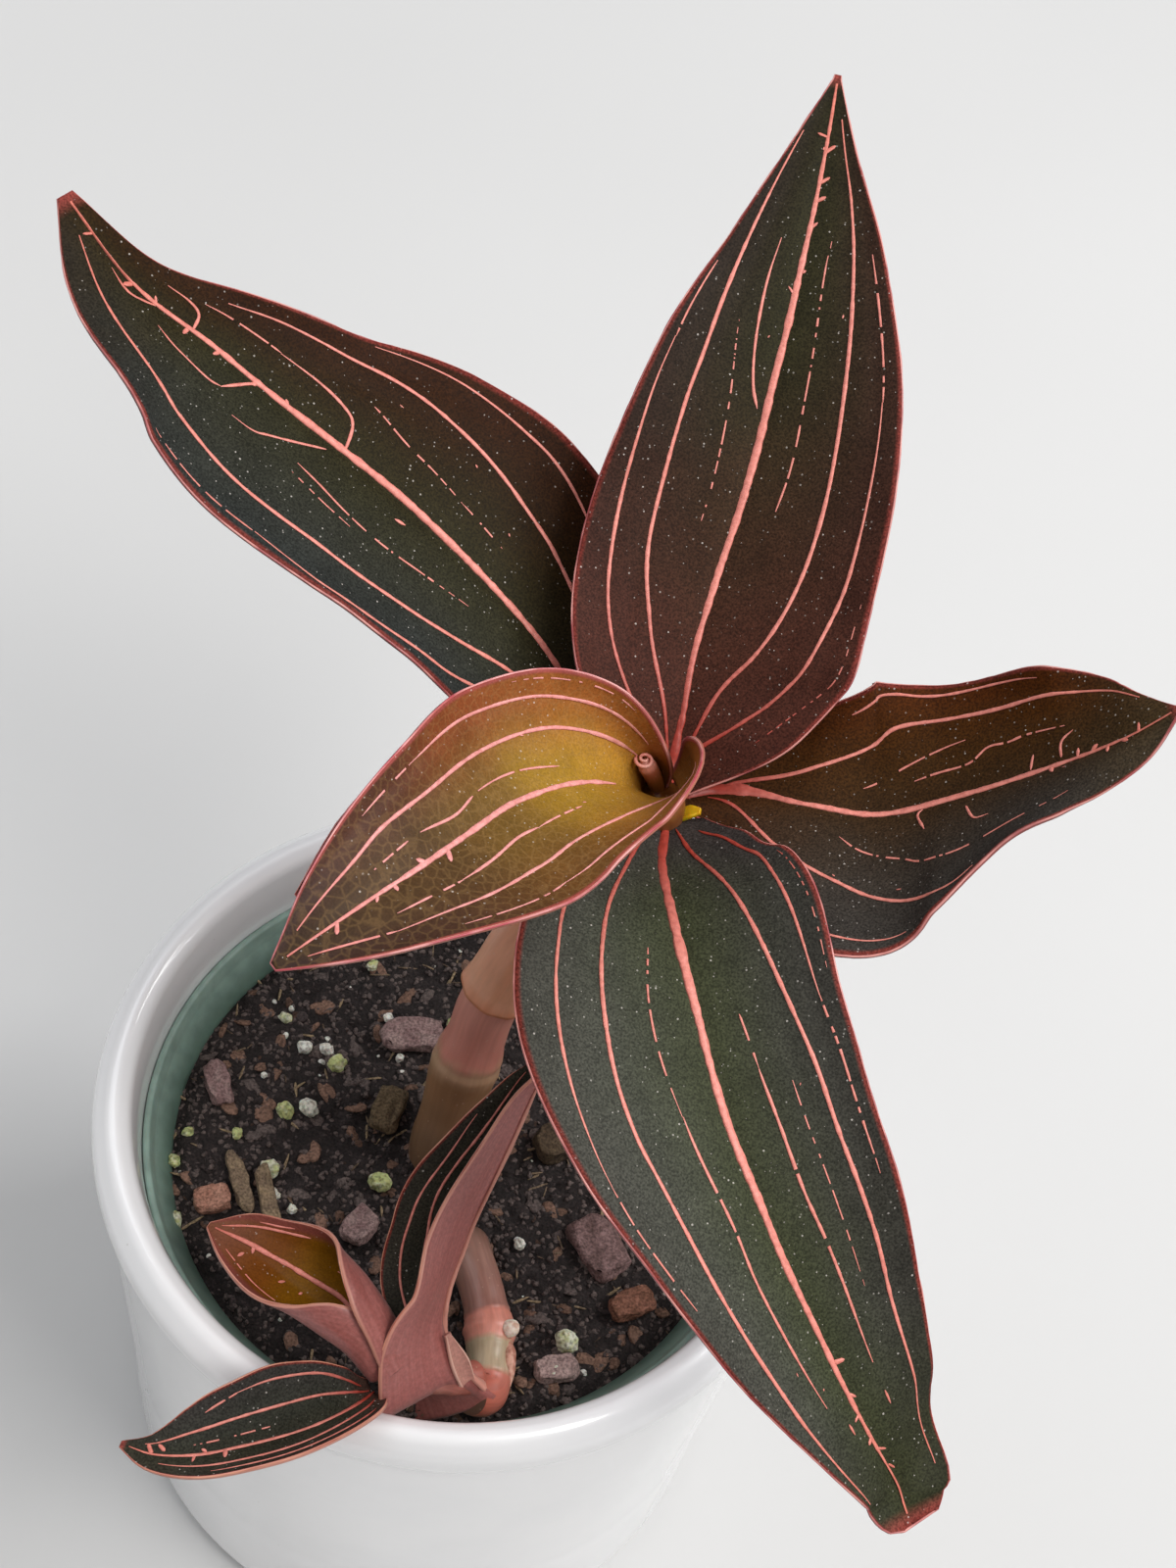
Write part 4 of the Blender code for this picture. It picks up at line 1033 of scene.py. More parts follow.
def edge_share(tree, across, hard, soft):
    """1 on a blade's margin and 0 inside it, from the place across in its UV map."""
    left = stretch(tree, across, hard, soft, 1.0, 0.0)
    right = stretch(tree, across, 1 - soft, 1 - hard)
    return add(tree, "ShaderNodeMath", {0: left, 1: right}, operation="MAXIMUM").outputs[0]


def finish_velvet(tree, shader, colour, glints, depth=0.7):
    """The skin's cells, their glints and the fine bump of the velvet."""
    cells = grain(tree, CELL_WIDTH, 2.0)
    shade = ramp(tree, cells, [(0.35, "#707070"), (0.65, "#ffffff")])
    shaded = blend(tree, depth, colour, shade, "MULTIPLY")
    patches = grain(tree, 5, 3.0)
    mottled = blend(tree, 0.3, shaded, ramp(tree, patches, [(0.3, "#8a8a8a"), (0.7, "#ffffff")]),
                    "MULTIPLY")
    # Painted glints: white dots mixed into the base colour on a few of the cells.
    place = add(tree, "ShaderNodeTexCoord").outputs["Object"]
    dots = add(tree, "ShaderNodeTexVoronoi", {"Vector": place, "Scale": 1 / (GLINT_SPACING * MM),
                                                    "Randomness": 1.0})
    chosen = add(tree, "ShaderNodeSeparateColor", {"Color": dots.outputs["Color"]})
    reach = stretch(tree, chosen.outputs[0], 0.5, 1.0, 0.0, 0.22, smooth=False)
    inside = add(tree, "ShaderNodeMath", {0: dots.outputs["Distance"], 1: reach}, operation="LESS_THAN")
    few = stretch(tree, chosen.outputs[1], 0.3, 1.0, 0.15, glints, smooth=False)
    amount = add(tree, "ShaderNodeMath", {0: inside.outputs[0], 1: few}, operation="MULTIPLY")
    glinting = blend(tree, amount.outputs[0], mottled, "#fff6ee")
    tree.links.new(glinting, shader.inputs["Base Color"])
    bump(tree, shader, cells, 0.06, 0.7)


def amber_leaf(name):
    """The young leaf's upper skin: thin and amber at its heart, olive to maroon towards its tip."""
    made, tree, shader = new_material(name, 0.5, Specular_IOR_Level=0.14)
    uv = add(tree, "ShaderNodeUVMap", uv_map="blade")
    where = add(tree, "ShaderNodeSeparateXYZ", {"Vector": uv.outputs[0]})
    drift = add(tree, "ShaderNodeMath", {0: grain(tree, 10, 3.0), 1: 0.14, 2: -0.07},
                operation="MULTIPLY_ADD")
    along = add(tree, "ShaderNodeMath", {0: where.outputs["X"], 1: drift.outputs[0]}, operation="ADD")
    heart = ramp(tree, along.outputs[0], [
        (0.0, "#b0722a"), (0.14, "#bc8a30"), (0.34, "#a8802a"), (0.5, "#775826"), (0.7, "#553c22"),
        (1.0, "#443224")], "EASE")
    upper = ramp(tree, along.outputs[0], [
        (0.0, "#a86c32"), (0.3, "#a4622e"), (0.5, "#8c4c2a"), (0.7, "#5c3828"), (1.0, "#422e28")], "EASE")
    lower = ramp(tree, along.outputs[0], [
        (0.0, "#a86c32"), (0.28, "#986228"), (0.5, "#704a22"), (0.76, "#4e3426"), (1.0, "#402c26")], "EASE")
    across = add(tree, "ShaderNodeMath", {0: where.outputs["Y"], 1: drift.outputs[0]}, operation="ADD")
    sides = blend(tree, stretch(tree, across.outputs[0], 0.35, 0.65), lower, upper)
    beside = add(tree, "ShaderNodeMath", {0: across.outputs[0], 1: -0.5}, operation="ADD")
    away = add(tree, "ShaderNodeMath", {0: beside.outputs[0]}, operation="ABSOLUTE")
    body = blend(tree, stretch(tree, away.outputs[0], 0.08, 0.42), heart, sides)
    place = add(tree, "ShaderNodeTexCoord").outputs["Object"]
    net = add(tree, "ShaderNodeTexVoronoi", {"Vector": place, "Scale": 1 / (1.5 * MM)},
              feature="DISTANCE_TO_EDGE")
    lines = stretch(tree, net.outputs["Distance"], 0.0, 0.14, 0.16, 0.0)
    netted = blend(tree, lines, body, "#b08a58")
    edged = blend(tree, edge_share(tree, where.outputs["Y"], 0.006, 0.024), netted, "#a04a44")
    finish_velvet(tree, shader, edged, 0.35, 0.3)
    return made


def amber_inside(name):
    """The rolled shoot leaf's inner face: translucent amber that darkens towards its mouth."""
    made, tree, shader = new_material(name, 0.5, Specular_IOR_Level=0.12)
    uv = add(tree, "ShaderNodeUVMap", uv_map="blade")
    where = add(tree, "ShaderNodeSeparateXYZ", {"Vector": uv.outputs[0]})
    body = ramp(tree, where.outputs["X"], [(0.2, "#8a5a08"), (0.5, "#86580c"), (0.7, "#784210"),
                                           (0.95, "#84503a")], "EASE")
    edged = blend(tree, edge_share(tree, where.outputs["Y"], 0.05, 0.16), body, "#8c4a40")
    finish_velvet(tree, shader, edged, 0.3, 0.3)
    return made


def satin_underside(name, base, streak, edge, roughness=0.36):
    """A leaf's underside: satin skin with fine parallel veins that run its length."""
    made, tree, shader = new_material(name, roughness, Specular_IOR_Level=0.45, Sheen_Weight=0.08)
    uv = add(tree, "ShaderNodeUVMap", uv_map="blade")
    where = add(tree, "ShaderNodeSeparateXYZ", {"Vector": uv.outputs[0]})
    long_way = add(tree, "ShaderNodeMapping", {"Vector": uv.outputs[0], "Scale": (5.0, 46.0, 1.0)})
    veins = add(tree, "ShaderNodeTexNoise", {"Vector": long_way.outputs[0], "Scale": 1.0, "Detail": 3.0})
    body = blend(tree, stretch(tree, veins.outputs["Fac"], 0.3, 0.8), base, streak)
    specks = grain(tree, 0.5, 2.0)
    speckled = blend(tree, 0.35, body, ramp(tree, specks, [(0.35, "#9a9a9a"), (0.65, "#ffffff")]),
                     "MULTIPLY")
    edged = blend(tree, edge_share(tree, where.outputs["Y"], 0.004, 0.02), speckled, edge)
    tree.links.new(edged, shader.inputs["Base Color"])
    bump(tree, shader, veins.outputs["Fac"], 0.08, 0.5)
    return made


def vein_skin(name, base, middle, tip):
    """A vein's skin: waxy pink tissue that is redder at the leaf's base, a little blotched."""
    made, tree, shader = new_material(name, 0.42, Specular_IOR_Level=0.4, Subsurface_Weight=0.05,
                                      Subsurface_Scale=0.0006)
    along = add(tree, "ShaderNodeAttribute", attribute_name="along")
    zones = ramp(tree, along.outputs["Fac"], [
        (0.0, base), (0.08, base), (0.26, middle), (0.75, middle), (1.0, tip)])
    blotches = grain(tree, 0.7, 2.0)
    mixed = blend(tree, 0.45, zones, ramp(tree, blotches, [(0.3, "#b08a80"), (0.65, "#ffffff")]), "MULTIPLY")
    tree.links.new(mixed, shader.inputs["Base Color"])
    bump(tree, shader, blotches, 0.05, 0.6)
    return made


def margin_skin(name, colour, pale):
    """A blade's margin: a smooth crimson cord, paler in soft patches; the pale is partly the margin's own
    pink and partly a painted highlight along the edge.
    """
    made, tree, shader = new_material(name, 0.3, Specular_IOR_Level=0.5)
    shades = grain(tree, 6, 2.0)
    tree.links.new(blend(tree, stretch(tree, shades, 0.35, 0.65), colour, pale), shader.inputs["Base Color"])
    return made


def stem_skin(name, stops, streaks=0.35, roughness=0.38):
    """Fleshy stem skin: colour zones along it, darker streaks with its length, small pale pores."""
    made, tree, shader = new_material(name, roughness, Specular_IOR_Level=0.45, Subsurface_Weight=0.1,
                                      Subsurface_Scale=0.0015)
    uv = add(tree, "ShaderNodeUVMap", uv_map="blade")
    drift = add(tree, "ShaderNodeMath", {0: grain(tree, 4, 2.0), 1: 0.05, 2: -0.025},
                operation="MULTIPLY_ADD")
    where = add(tree, "ShaderNodeSeparateXYZ", {"Vector": uv.outputs[0]})
    along = add(tree, "ShaderNodeMath", {0: where.outputs["X"], 1: drift.outputs[0]}, operation="ADD")
    zones = ramp(tree, along.outputs[0], stops)
    long_way = add(tree, "ShaderNodeMapping", {"Vector": uv.outputs[0], "Scale": (7.0, 34.0, 1.0)})
    lines = add(tree, "ShaderNodeTexNoise", {"Vector": long_way.outputs[0], "Scale": 1.0, "Detail": 3.0})
    lined = blend(tree, streaks, zones, ramp(tree, lines.outputs["Fac"], [(0.35, "#7a6058"),
                                                                        (0.65, "#ffffff")]), "MULTIPLY")
    pores = add(tree, "ShaderNodeTexVoronoi", {"Vector": add(tree, "ShaderNodeTexCoord").outputs["Object"],
                                               "Scale": 1 / (1.3 * MM)})
    dotted = blend(tree, stretch(tree, pores.outputs["Distance"], 0.05, 0.16, 0.35, 0.0), lined, "#d8b09a")
    tree.links.new(dotted, shader.inputs["Base Color"])
    bump(tree, shader, lines.outputs["Fac"], 0.06, 0.4)
    return made


def glazed_ceramic(name, colour, pooled):
    """White glazed stoneware: a glassy coat over a milky body, a little greyer in soft patches."""
    made, tree, shader = new_material(name, 0.26, Specular_IOR_Level=0.5, Coat_Weight=0.8,
                                      Coat_Roughness=0.07)
    clouds = grain(tree, 24, 3.0)
    cloudy = blend(tree, stretch(tree, clouds, 0.35, 0.7, 0.0, 0.5), colour, pooled)
    pits = add(tree, "ShaderNodeTexVoronoi", {"Vector": add(tree, "ShaderNodeTexCoord").outputs["Object"],
                                              "Scale": 1 / (7 * MM)})
    pinholes = blend(tree, stretch(tree, pits.outputs["Distance"], 0.015, 0.03, 0.35, 0.0), cloudy,
                     "#a8a49c")
    tree.links.new(pinholes, shader.inputs["Base Color"])
    bump(tree, shader, grain(tree, 9, 2.0), 0.12, 0.35)
    return made


def green_plastic(name, colour, worn):
    """The nursery pot's moulded polypropylene: satin sage green and scuffed, with a painted highlight at the
    rim and painted shade down the inner wall to the soil.
    """
    made, tree, shader = new_material(name, 0.42, Specular_IOR_Level=0.45, Subsurface_Weight=0.1,
                                      Subsurface_Scale=0.001)
    place = add(tree, "ShaderNodeTexCoord").outputs["Object"]
    height = add(tree, "ShaderNodeSeparateXYZ", {"Vector": place}).outputs["Z"]
    # Painted light and shade: the first colour is the rim's painted highlight, the second (worn) the painted
    # shade that darkens the inner wall down to the soil.
    rim_highlight_wall_shade = stretch(tree, height, (NURSERY_RIM_HEIGHT - 1.2) * MM, (SOIL_TOP - 1) * MM)
    body = blend(tree, rim_highlight_wall_shade, colour, worn)
    scuffs = grain(tree, 3, 4.0)
    scuffed = blend(tree, 0.3, body, ramp(tree, scuffs, [(0.35, "#8f8f8f"), (0.65, "#ffffff")]), "MULTIPLY")
    tree.links.new(scuffed, shader.inputs["Base Color"])
    bump(tree, shader, grain(tree, 0.8, 2.0), 0.03, 0.5)
    return made


def crumbly(name, dark, middle, light, millimetres=1.4, roughness=0.9):
    """Humus, bark or wood: broken, matt and fibrous, its shade different from crumb to crumb."""
    made, tree, shader = new_material(name, roughness, Specular_IOR_Level=0.25)
    tint = add(tree, "ShaderNodeAttribute", attribute_name="tint")
    rough_noise = grain(tree, millimetres, 4.0, distortion=0.6)
    shade = add(tree, "ShaderNodeMath", {0: tint.outputs["Fac"], 1: rough_noise}, operation="ADD")
    spread = stretch(tree, shade.outputs[0], 0.35, 1.5)
    colour = ramp(tree, spread, [(0.0, dark), (0.5, middle), (1.0, light)])
    fine = grain(tree, 0.4, 3.0)
    worked = blend(tree, 0.65, colour, ramp(tree, fine, [(0.35, "#606060"), (0.65, "#ffffff")]), "MULTIPLY")
    tree.links.new(worked, shader.inputs["Base Color"])
    bump(tree, shader, fine, 0.25, 0.8)
    return made


def perlite_skin(name):
    """Perlite: chalky white foam glass, with yellow-green algae on the grains that lie wet."""
    made, tree, shader = new_material(name, 0.85, Specular_IOR_Level=0.3, Subsurface_Weight=0.15,
                                      Subsurface_Scale=0.0008)
    green = add(tree, "ShaderNodeAttribute", attribute_name="green")
    spots = grain(tree, 1.1, 3.0)
    patch = add(tree, "ShaderNodeMath", {0: green.outputs["Fac"], 1: spots, 2: 0.0}, operation="MULTIPLY")
    algae = stretch(tree, patch.outputs[0], 0.08, 0.42)
    body = blend(tree, algae, "#e6e4da", "#bcc284")
    dirt = blend(tree, 0.7, body, ramp(tree, grain(tree, 0.6, 3.0), [(0.32, "#6a6458"), (0.55, "#ffffff")]),
                 "MULTIPLY")
    tree.links.new(dirt, shader.inputs["Base Color"])
    bump(tree, shader, grain(tree, 0.45, 2.0), 0.2, 0.8)
    return made


def root_skin(name, light, dark):
    """A root's velamen: a papery, pale, spongy coat."""
    made, tree, shader = new_material(name, 0.6, Specular_IOR_Level=0.3, Subsurface_Weight=0.2,
                                      Subsurface_Scale=0.001)
    tree.links.new(blend(tree, stretch(tree, grain(tree, 1.2, 3.0), 0.4, 0.65), light, dark),
                   shader.inputs["Base Color"])
    bump(tree, shader, grain(tree, 0.5, 2.0), 0.1, 0.6)
    return made


def yellow_skin(name):
    """The dying bract: thin waxy yellow tissue, browner at its tip."""
    made, tree, shader = new_material(name, 0.4, Specular_IOR_Level=0.4, Subsurface_Weight=0.2,
                                      Subsurface_Scale=0.001)
    uv = add(tree, "ShaderNodeUVMap", uv_map="blade")
    where = add(tree, "ShaderNodeSeparateXYZ", {"Vector": uv.outputs[0]})
    body = ramp(tree, where.outputs["X"], [(0.0, "#c8942a"), (0.4, "#ecc81e"), (1.0, "#d8a818")])
    tree.links.new(blend(tree, 0.25, body, ramp(tree, grain(tree, 0.8), [(0.3, "#b09060"),
                                                                        (0.7, "#ffffff")]), "MULTIPLY"),
                   shader.inputs["Base Color"])
    return made


FINISHES = {}


def finish(name):
    """Look a finish up by its name, and make it the first time that it is asked for."""
    if name not in FINISHES:
        FINISHES[name] = make_finish(name)
    return FINISHES[name]


def make_finish(name):
    orchid = bpy.context.scene.orchid
    makers = {
        "velvet_amber": lambda: amber_leaf(name),
        "amber_inside": lambda: amber_inside(name),
        "satin_underside": lambda: satin_underside(name, "#643a3a", "#805050", "#8a4a46"),
        "young_underside": lambda: satin_underside(name, "#9c6a44", "#a87850", "#b06a58"),
        "shoot_underside": lambda: satin_underside(name, "#a45e58", "#b4706a", "#cc8c7c"),
        "bract_skin": lambda: satin_underside(name, "#bc8074", "#d09a8a", "#e8b8a6"),
        "vein_pink": lambda: vein_skin(name, "#a84034", orchid.leaves.vein_colour_hex(), "#dc7a68"),
        "vein_rose": lambda: vein_skin(name, "#d09080", "#eda09c", "#e88a80"),
        "crimson_margin": lambda: margin_skin(name, "#9c4648", "#d8948c"),
        "rose_margin": lambda: margin_skin(name, "#b04a54", "#dc9a98"),
        # The coil's edge is the rose margin painted paler: painted light where the coil lies in shade.
        "coil_edge_painted_light": lambda: margin_skin(name, "#d8786c", "#f0b4a6"),
        "shoot_margin": lambda: margin_skin(name, "#b0604c", "#dc9c80"),
        "yellow_bract": lambda: yellow_skin(name),
        "glazed_ceramic": lambda: glazed_ceramic(name, "#fbfbfd", "#f2f3f6"),
        # Sage green: the first colour is the rim's painted highlight, the second the painted shade down the
        # inner wall.
        "green_polypropylene": lambda: green_plastic(name, "#93ada2", "#5a7266"),
        "humus": lambda: crumbly(name, "#2c2625", "#4c4241", "#6e615d", 3.0),
        "bark_bits": lambda: crumbly(name, "#3a2c26", "#644c40", "#8e6e5e"),
        "bark_mauve": lambda: crumbly(name, "#5e4844", "#947674", "#b49a94", 2.2),
        "bark_red": lambda: crumbly(name, "#60402e", "#a06e5c", "#c49480", 2.2),
        "bark_dark": lambda: crumbly(name, "#342a22", "#5a4a3a", "#78664e", 2.2),
        "wood_grain": lambda: crumbly(name, "#54443a", "#86725e", "#a48e70", 2.0),
        "perlite": lambda: perlite_skin(name),
        "velamen": lambda: root_skin(name, "#f0e2d2", "#c8a08a"),
        "papery_scale": lambda: root_skin(name, "#d8a894", "#a8705e"),
        "stem_skin": lambda: stem_skin(name, [
            (0.0, "#6a5040"), (0.12, "#7e6048"), (0.25, "#a07654"), (0.29, "#c8a080"), (0.32, "#d88c7c"),
            (0.43, "#e09a8a"), (0.5, "#dc8e7a"), (0.62, "#e89470"), (1.0, "#d06c56")], 0.14),
        "sheath_skin": lambda: stem_skin(name, [(0.0, "#e89a74"), (0.08, "#f4b08c"), (0.6, "#f0a078"),
                                                (1.0, "#d87a60")], 0.12, 0.34),
        "rhizome_skin": lambda: stem_skin(name, [
            (0.0, "#6e5244"), (0.3, "#a47a6c"), (0.53, "#a07064"), (0.56, "#dc8e7c"), (0.67, "#e09684"),
            (0.695, "#b8a486"), (0.81, "#c0ac90"), (0.85, "#c87868"), (1.0, "#b4604e")], 0.24),
        "shoot_skin": lambda: stem_skin(name, [(0.0, "#b4604e"), (0.3, "#b06a5e"), (0.6, "#b4766a"),
                                               (1.0, "#ac706a")], 0.25),
        # The young leaf's foot: painted dark maroon to brown as shade, turning amber towards its top.
        "foot_painted_shade": lambda: stem_skin(name, [(0.0, "#6a3a30"), (0.5, "#74442c"), (1.0, "#84501e")], 0.2),
        "new_leaf": lambda: stem_skin(name, [(0.0, "#8a5a24"), (0.6, "#b07840"), (0.85, "#cc7a5c"),
                                               (1.0, "#f0a898")], 0.15),
    }
    return makers[name]() if name in makers else velvet_leaf(name)


# Leaves

def spurs(blade, seed, first, last, count):
    """Short side spurs on the midrib near the tip, and loose flecks beside it."""
    draw = random.Random(seed)
    found = []
    for number in range(count):
        at = first + (last - first) * (number + draw.uniform(0.1, 0.9)) / max(count, 1)
        way = draw.choice((-1, 1))
        reach = draw.uniform(*SPUR_REACH) / blade.half_width(at, way)
        slant = draw.uniform(*SPUR_SLANT) / blade.length
        start = 0.0 if draw.random() < 0.75 else 0.35 * reach
        tip = (at + slant, way * min(reach, SPUR_LIMIT))
        found.append(Vein(draw.uniform(*SPUR_WIDTH), 0, [(at, way * start), tip]))
    for number in range(count // 2):
        at = draw.uniform(0.3, 0.9)
        place = draw.uniform(-0.6, 0.6)
        long = draw.uniform(*FLECK_LENGTH) / blade.length
        found.append(Vein(draw.uniform(*FLECK_WIDTH), 0, [(at, place), (at + long, place + 0.01)]))
    return found


def vein_points(blade, vein, wobble_seed):
    """A vein's points with the way out of the blade, its width and its place along the blade."""
    path = smooth_row(vein.path, 12)
    span = np.abs(np.diff(path[:, 0])).sum() + np.abs(np.diff(path[:, 1])).sum() * 0.3
    count = max(int(span * blade.length / (BROKEN_STEP if vein.broken else VEIN_STEP)), 4)
    places = even_steps(vein.path, count, 2)
    rows = []
    for index, (along, place) in enumerate(places):
        share = index / (count - 1)
        place += 0.008 * noise.noise(Vector((along * 9, wobble_seed, vein.width)))
        out = blade.normal(along, place)
        midrib = vein.width > MIDRIB_WIDTH
        taper = min(1, 0.35 + share * 9, 0.3 + (1 - share) * (1.6 if midrib else 3))
        if midrib:
            taper *= 0.72 + 0.28 * ease(along, 0.0, 0.5)
        width = VEIN_FULLNESS * vein.width * taper * (1 - 0.45 * vein.broken)
        rows.append((blade.point(along, place) + out * VEIN_LIFT, out, width, 0.62 * vein.broken, along))
    return rows


def line_mesh(name, lines):
    """Lines of points as a mesh of edges, with what each point carries as attributes."""
    rows = [row for line in lines for row in line]
    edges = []
    start = 0
    for line in lines:
        edges += [(start + k, start + k + 1) for k in range(len(line) - 1)]
        start += len(line)
    mesh = bpy.data.meshes.new(name)
    mesh.from_pydata([row[0] * MM for row in rows], edges, [])
    for label, column, scale in (("width", 2, MM), ("broken", 3, 1), ("along", 4, 1)):
        values = [row[column] * scale for row in rows]
        mesh.attributes.new(label, "FLOAT", "POINT").data.foreach_set("value", values)
    lift = mesh.attributes.new("lift", "FLOAT_VECTOR", "POINT")
    lift.data.foreach_set("vector", np.array([row[1] for row in rows]).ravel())
    return mesh


def make_blade(name, leaf, blade, settings):
    """The blade itself: a fine sheet with its thickness, velvety above and satin below."""
    rows = [[blade.point(row / ALONG, 2 * column / ACROSS - 1) for column in range(ACROSS + 1)]
            for row in range(ALONG + 1)]
    piece = new_object("blade_" + name, sheet_mesh("blade_" + name, rows))
    piece.data.materials.append(finish(leaf.upper))
    piece.data.materials.append(finish(leaf.under))
    wall = piece.modifiers.new("thickness", "SOLIDIFY")
    wall.thickness = settings.blade_thickness
    wall.offset = -1
    wall.material_offset = 1
    wall.material_offset_rim = 1
    return apply_modifiers(piece)


def make_leaf(name, leaf, settings, trees):
    """One leaf: its blade, the veins on it, the keel under its midrib and the cord of its margin."""
    blade = Blade(name, leaf)
    slot = record_slot(name)
    piece = make_blade(name, leaf, blade, settings)
    finish_piece(piece, slot, name)
    if not leaf.veins:
        return
    veins = leaf.veins + spurs(blade, *leaf.spurs)
    lines = [vein_points(blade, vein, 3.7 * number) for number, vein in enumerate(veins)]
    cords = new_object("veins_" + name, line_mesh("veins_" + name, lines))
    young = leaf.upper == "velvet_amber"
    run_tree(cords, trees["veins"], {"Height": settings.vein_height, "Ragged": settings.vein_ragged,
                                     "Finish": finish("vein_rose" if young else "vein_pink")})
    finish_piece(cords, slot)
    make_margin(name, leaf, blade, settings, trees, slot)


def make_margin(name, leaf, blade, settings, trees, slot):
    """The margin's thin cord, and the keel that the midrib makes under the blade."""
    edge = []
    wide = settings.margin_width / MM * (SHOOT_CORD_SHARE if name.startswith("shoot") else 1)
    for side in (-1, 1):
        for step in range(ALONG + 1):
            along = step / ALONG if side < 0 else 1 - step / ALONG
            out = blade.normal(along, 0.98 * side)
            size = wide * (0.7 + 0.3 * rough((along * 30, side, 0), 1.0))
            edge.append((blade.point(along, side) - out * CORD_DROP, out, size, 0, along))
    keel = []
    for step in range(8, ALONG - 6):
        along = step / ALONG
        out = blade.normal(along, 0.0)
        keel.append((blade.point(along, 0) - out * (settings.blade_thickness / MM + KEEL_DROP), out,
                     KEEL_WIDTH * (1 - 0.75 * along), 0, along))
    look = {"velvet_amber": "rose_margin", "velvet_shoot": "shoot_margin", "amber_inside": "shoot_margin"}
    cord = new_object("margin_" + name, line_mesh("margin_" + name, [edge]))
    run_tree(cord, trees["veins"], {"Height": 0.8, "Ragged": 0.15,
                                    "Finish": finish(look.get(leaf.upper, "crimson_margin"))})
    finish_piece(cord, slot)
    rib = new_object("keel_" + name, line_mesh("keel_" + name, [keel]))
    run_tree(rib, trees["veins"], {"Height": 0.5, "Ragged": 0.05, "Finish": finish(leaf.under)})
    finish_piece(rib, slot)


def record_slot(node):
    """The record's material slot of a CAD node."""
    for row in frame["record"]["subparts"]:
        if row["node"] == node:
            return row["material_slot"]
    raise KeyError(node)


# Stems

def make_stem(name, node, rings, look, nodes=(), count=90, sides=36, **shape):
    """A stem, a root or a rolled leaf that follows its path."""
    rows = tube_rows(rings, count, sides, stem_shape(nodes, **shape))
    piece = new_object(name, sheet_mesh(name, rows, closed=True, caps=True))
    piece.data.materials.append(finish(look))
    if node:
        finish_piece(piece, record_slot(node), node)
    else:
        finish_piece(piece, record_slot("new_leaf_roll"))
    return piece


def coil_rings(steps=36):
    """The rolled edge of the newest leaf: a spiral that winds in from the mouth of the roll."""
    mouth = NEW_LEAF_ROLL[-1]
    rings = []
    for step in range(steps + 1):
        share = step / steps
        angle = math.radians(150) + 2 * math.pi * COIL_TURNS * share
        reach = mouth.radius * (1 - 0.75 * share)
        rings.append(Ring(mouth.x + reach * math.cos(angle), mouth.y + reach * math.sin(angle),
                          mouth.z + COIL_RISE * (0.2 + 0.8 * share), COIL_CORD * (1 - 0.3 * share)))
    return rings


def make_sheath():
    """The orange sheath: an open sleeve with pleats, flared a little at its mouth."""
    def share(along, angle, point):
        pleat = 0.02 * math.sin(9 * angle + 4 * along)
        flare = 0.10 * ease(along, 0.86, 1.0) + 0.06 * ease(along, 0.08, 0.0)
        return 1 + pleat + flare + 0.02 * rough(point, 4.0, 6.0)
    rows = tube_rows(SHEATH_PATH, 60, 48, share)
    piece = new_object("sheath", sheet_mesh("sheath", rows, closed=True))
    piece.data.materials.append(finish("sheath_skin"))
    wall = piece.modifiers.new("wall", "SOLIDIFY")
    wall.thickness = SHEATH_WALL * MM
    wall.offset = 0
    apply_modifiers(piece)
    finish_piece(piece, record_slot("stem_sheath"), "stem_sheath")


# Potting mix

def soil_height(x, y):
    """The mix's height in millimetres: heaped unevenly, and lower by the pot's wall."""
    radius = math.hypot(x, y)
    heaps = 0.8 * rough((x, y, 0), 13.0, 1.0) + 0.55 * rough((x, y, 0), 5.0, 5.0)
    clods = 0.5 * rough((x, y, 0), 2.2, 7.0) + 0.28 * rough((x, y, 0), 0.9, 2.0)
    edge = ease(radius, SOIL_RADIUS - DIP_START, SOIL_RADIUS + DIP_END)
    return SOIL_TOP + SOIL_UNEVEN * (heaps + clods) * (1 - edge) - WALL_DIP * edge


def make_soil_top(rings=120, spokes=320):
    """The mix's upper surface as rings of points."""
    rows = []
    for ring in range(1, rings + 1):
        radius = SOIL_RADIUS * ring / rings
        row = []
        for spoke in range(spokes):
            angle = 2 * math.pi * spoke / spokes
            x, y = radius * math.cos(angle), radius * math.sin(angle)
            row.append((x, y, soil_height(x, y)))
        rows.append(row)
    return rows


def make_mix(settings, trees):
    """The potting mix: an uneven body, crumbs of humus and bark, fibres and perlite."""
    rows = make_soil_top()
    foot = [(x * SOIL_FOOT_RADIUS / SOIL_RADIUS, y * SOIL_FOOT_RADIUS / SOIL_RADIUS, SOIL_FOOT)
            for x, y, z in rows[-1]]
    body = new_object("mix_body", sheet_mesh("mix_body", [*rows, foot], closed=True, caps=True))
    body.data.materials.append(finish("humus"))
    finish_piece(body, "potting_mix", "potting_mix")

    kinds = [
        ("mix_crumbs", "humus", settings.crumb_density, 0.25, 1.0, 1.4, 0.6, 0.8, 1),
        ("mix_clods", "humus", settings.crumb_density * 0.02, 1.2, 2.8, 1.4, 0.4, 0.8, 5),
        ("mix_bark_bits", "bark_bits", settings.crumb_density * 0.03, 0.6, 2.6, 1.7, 0.35, 0.35, 2),
        ("mix_fibres", "wood_grain", settings.crumb_density * 0.03, 0.25, 0.5, 10.0, 0.8, 0.3, 3),
        ("mix_fine_perlite", "perlite", settings.crumb_density * 0.006, 0.5, 1.3, 1.1, 0.8, 0.2, 4),
    ]
    for name, look, density, smallest, largest, long, flat, uneven, seed in kinds:
        top = new_object(name, sheet_mesh(name, rows, closed=True))
        run_tree(top, trees["crumbs"], {
            "Density": density, "Smallest": smallest * MM, "Largest": largest * MM, "Long": long,
            "Flat": flat, "Uneven": uneven, "Seed": settings.seed + seed, "Detail": 1 if seed == 1 else 2,
            "Sink": 0.3 * smallest * MM, "Finish": finish(look)})
        finish_piece(top, "potting_mix")
    make_perlite(trees)


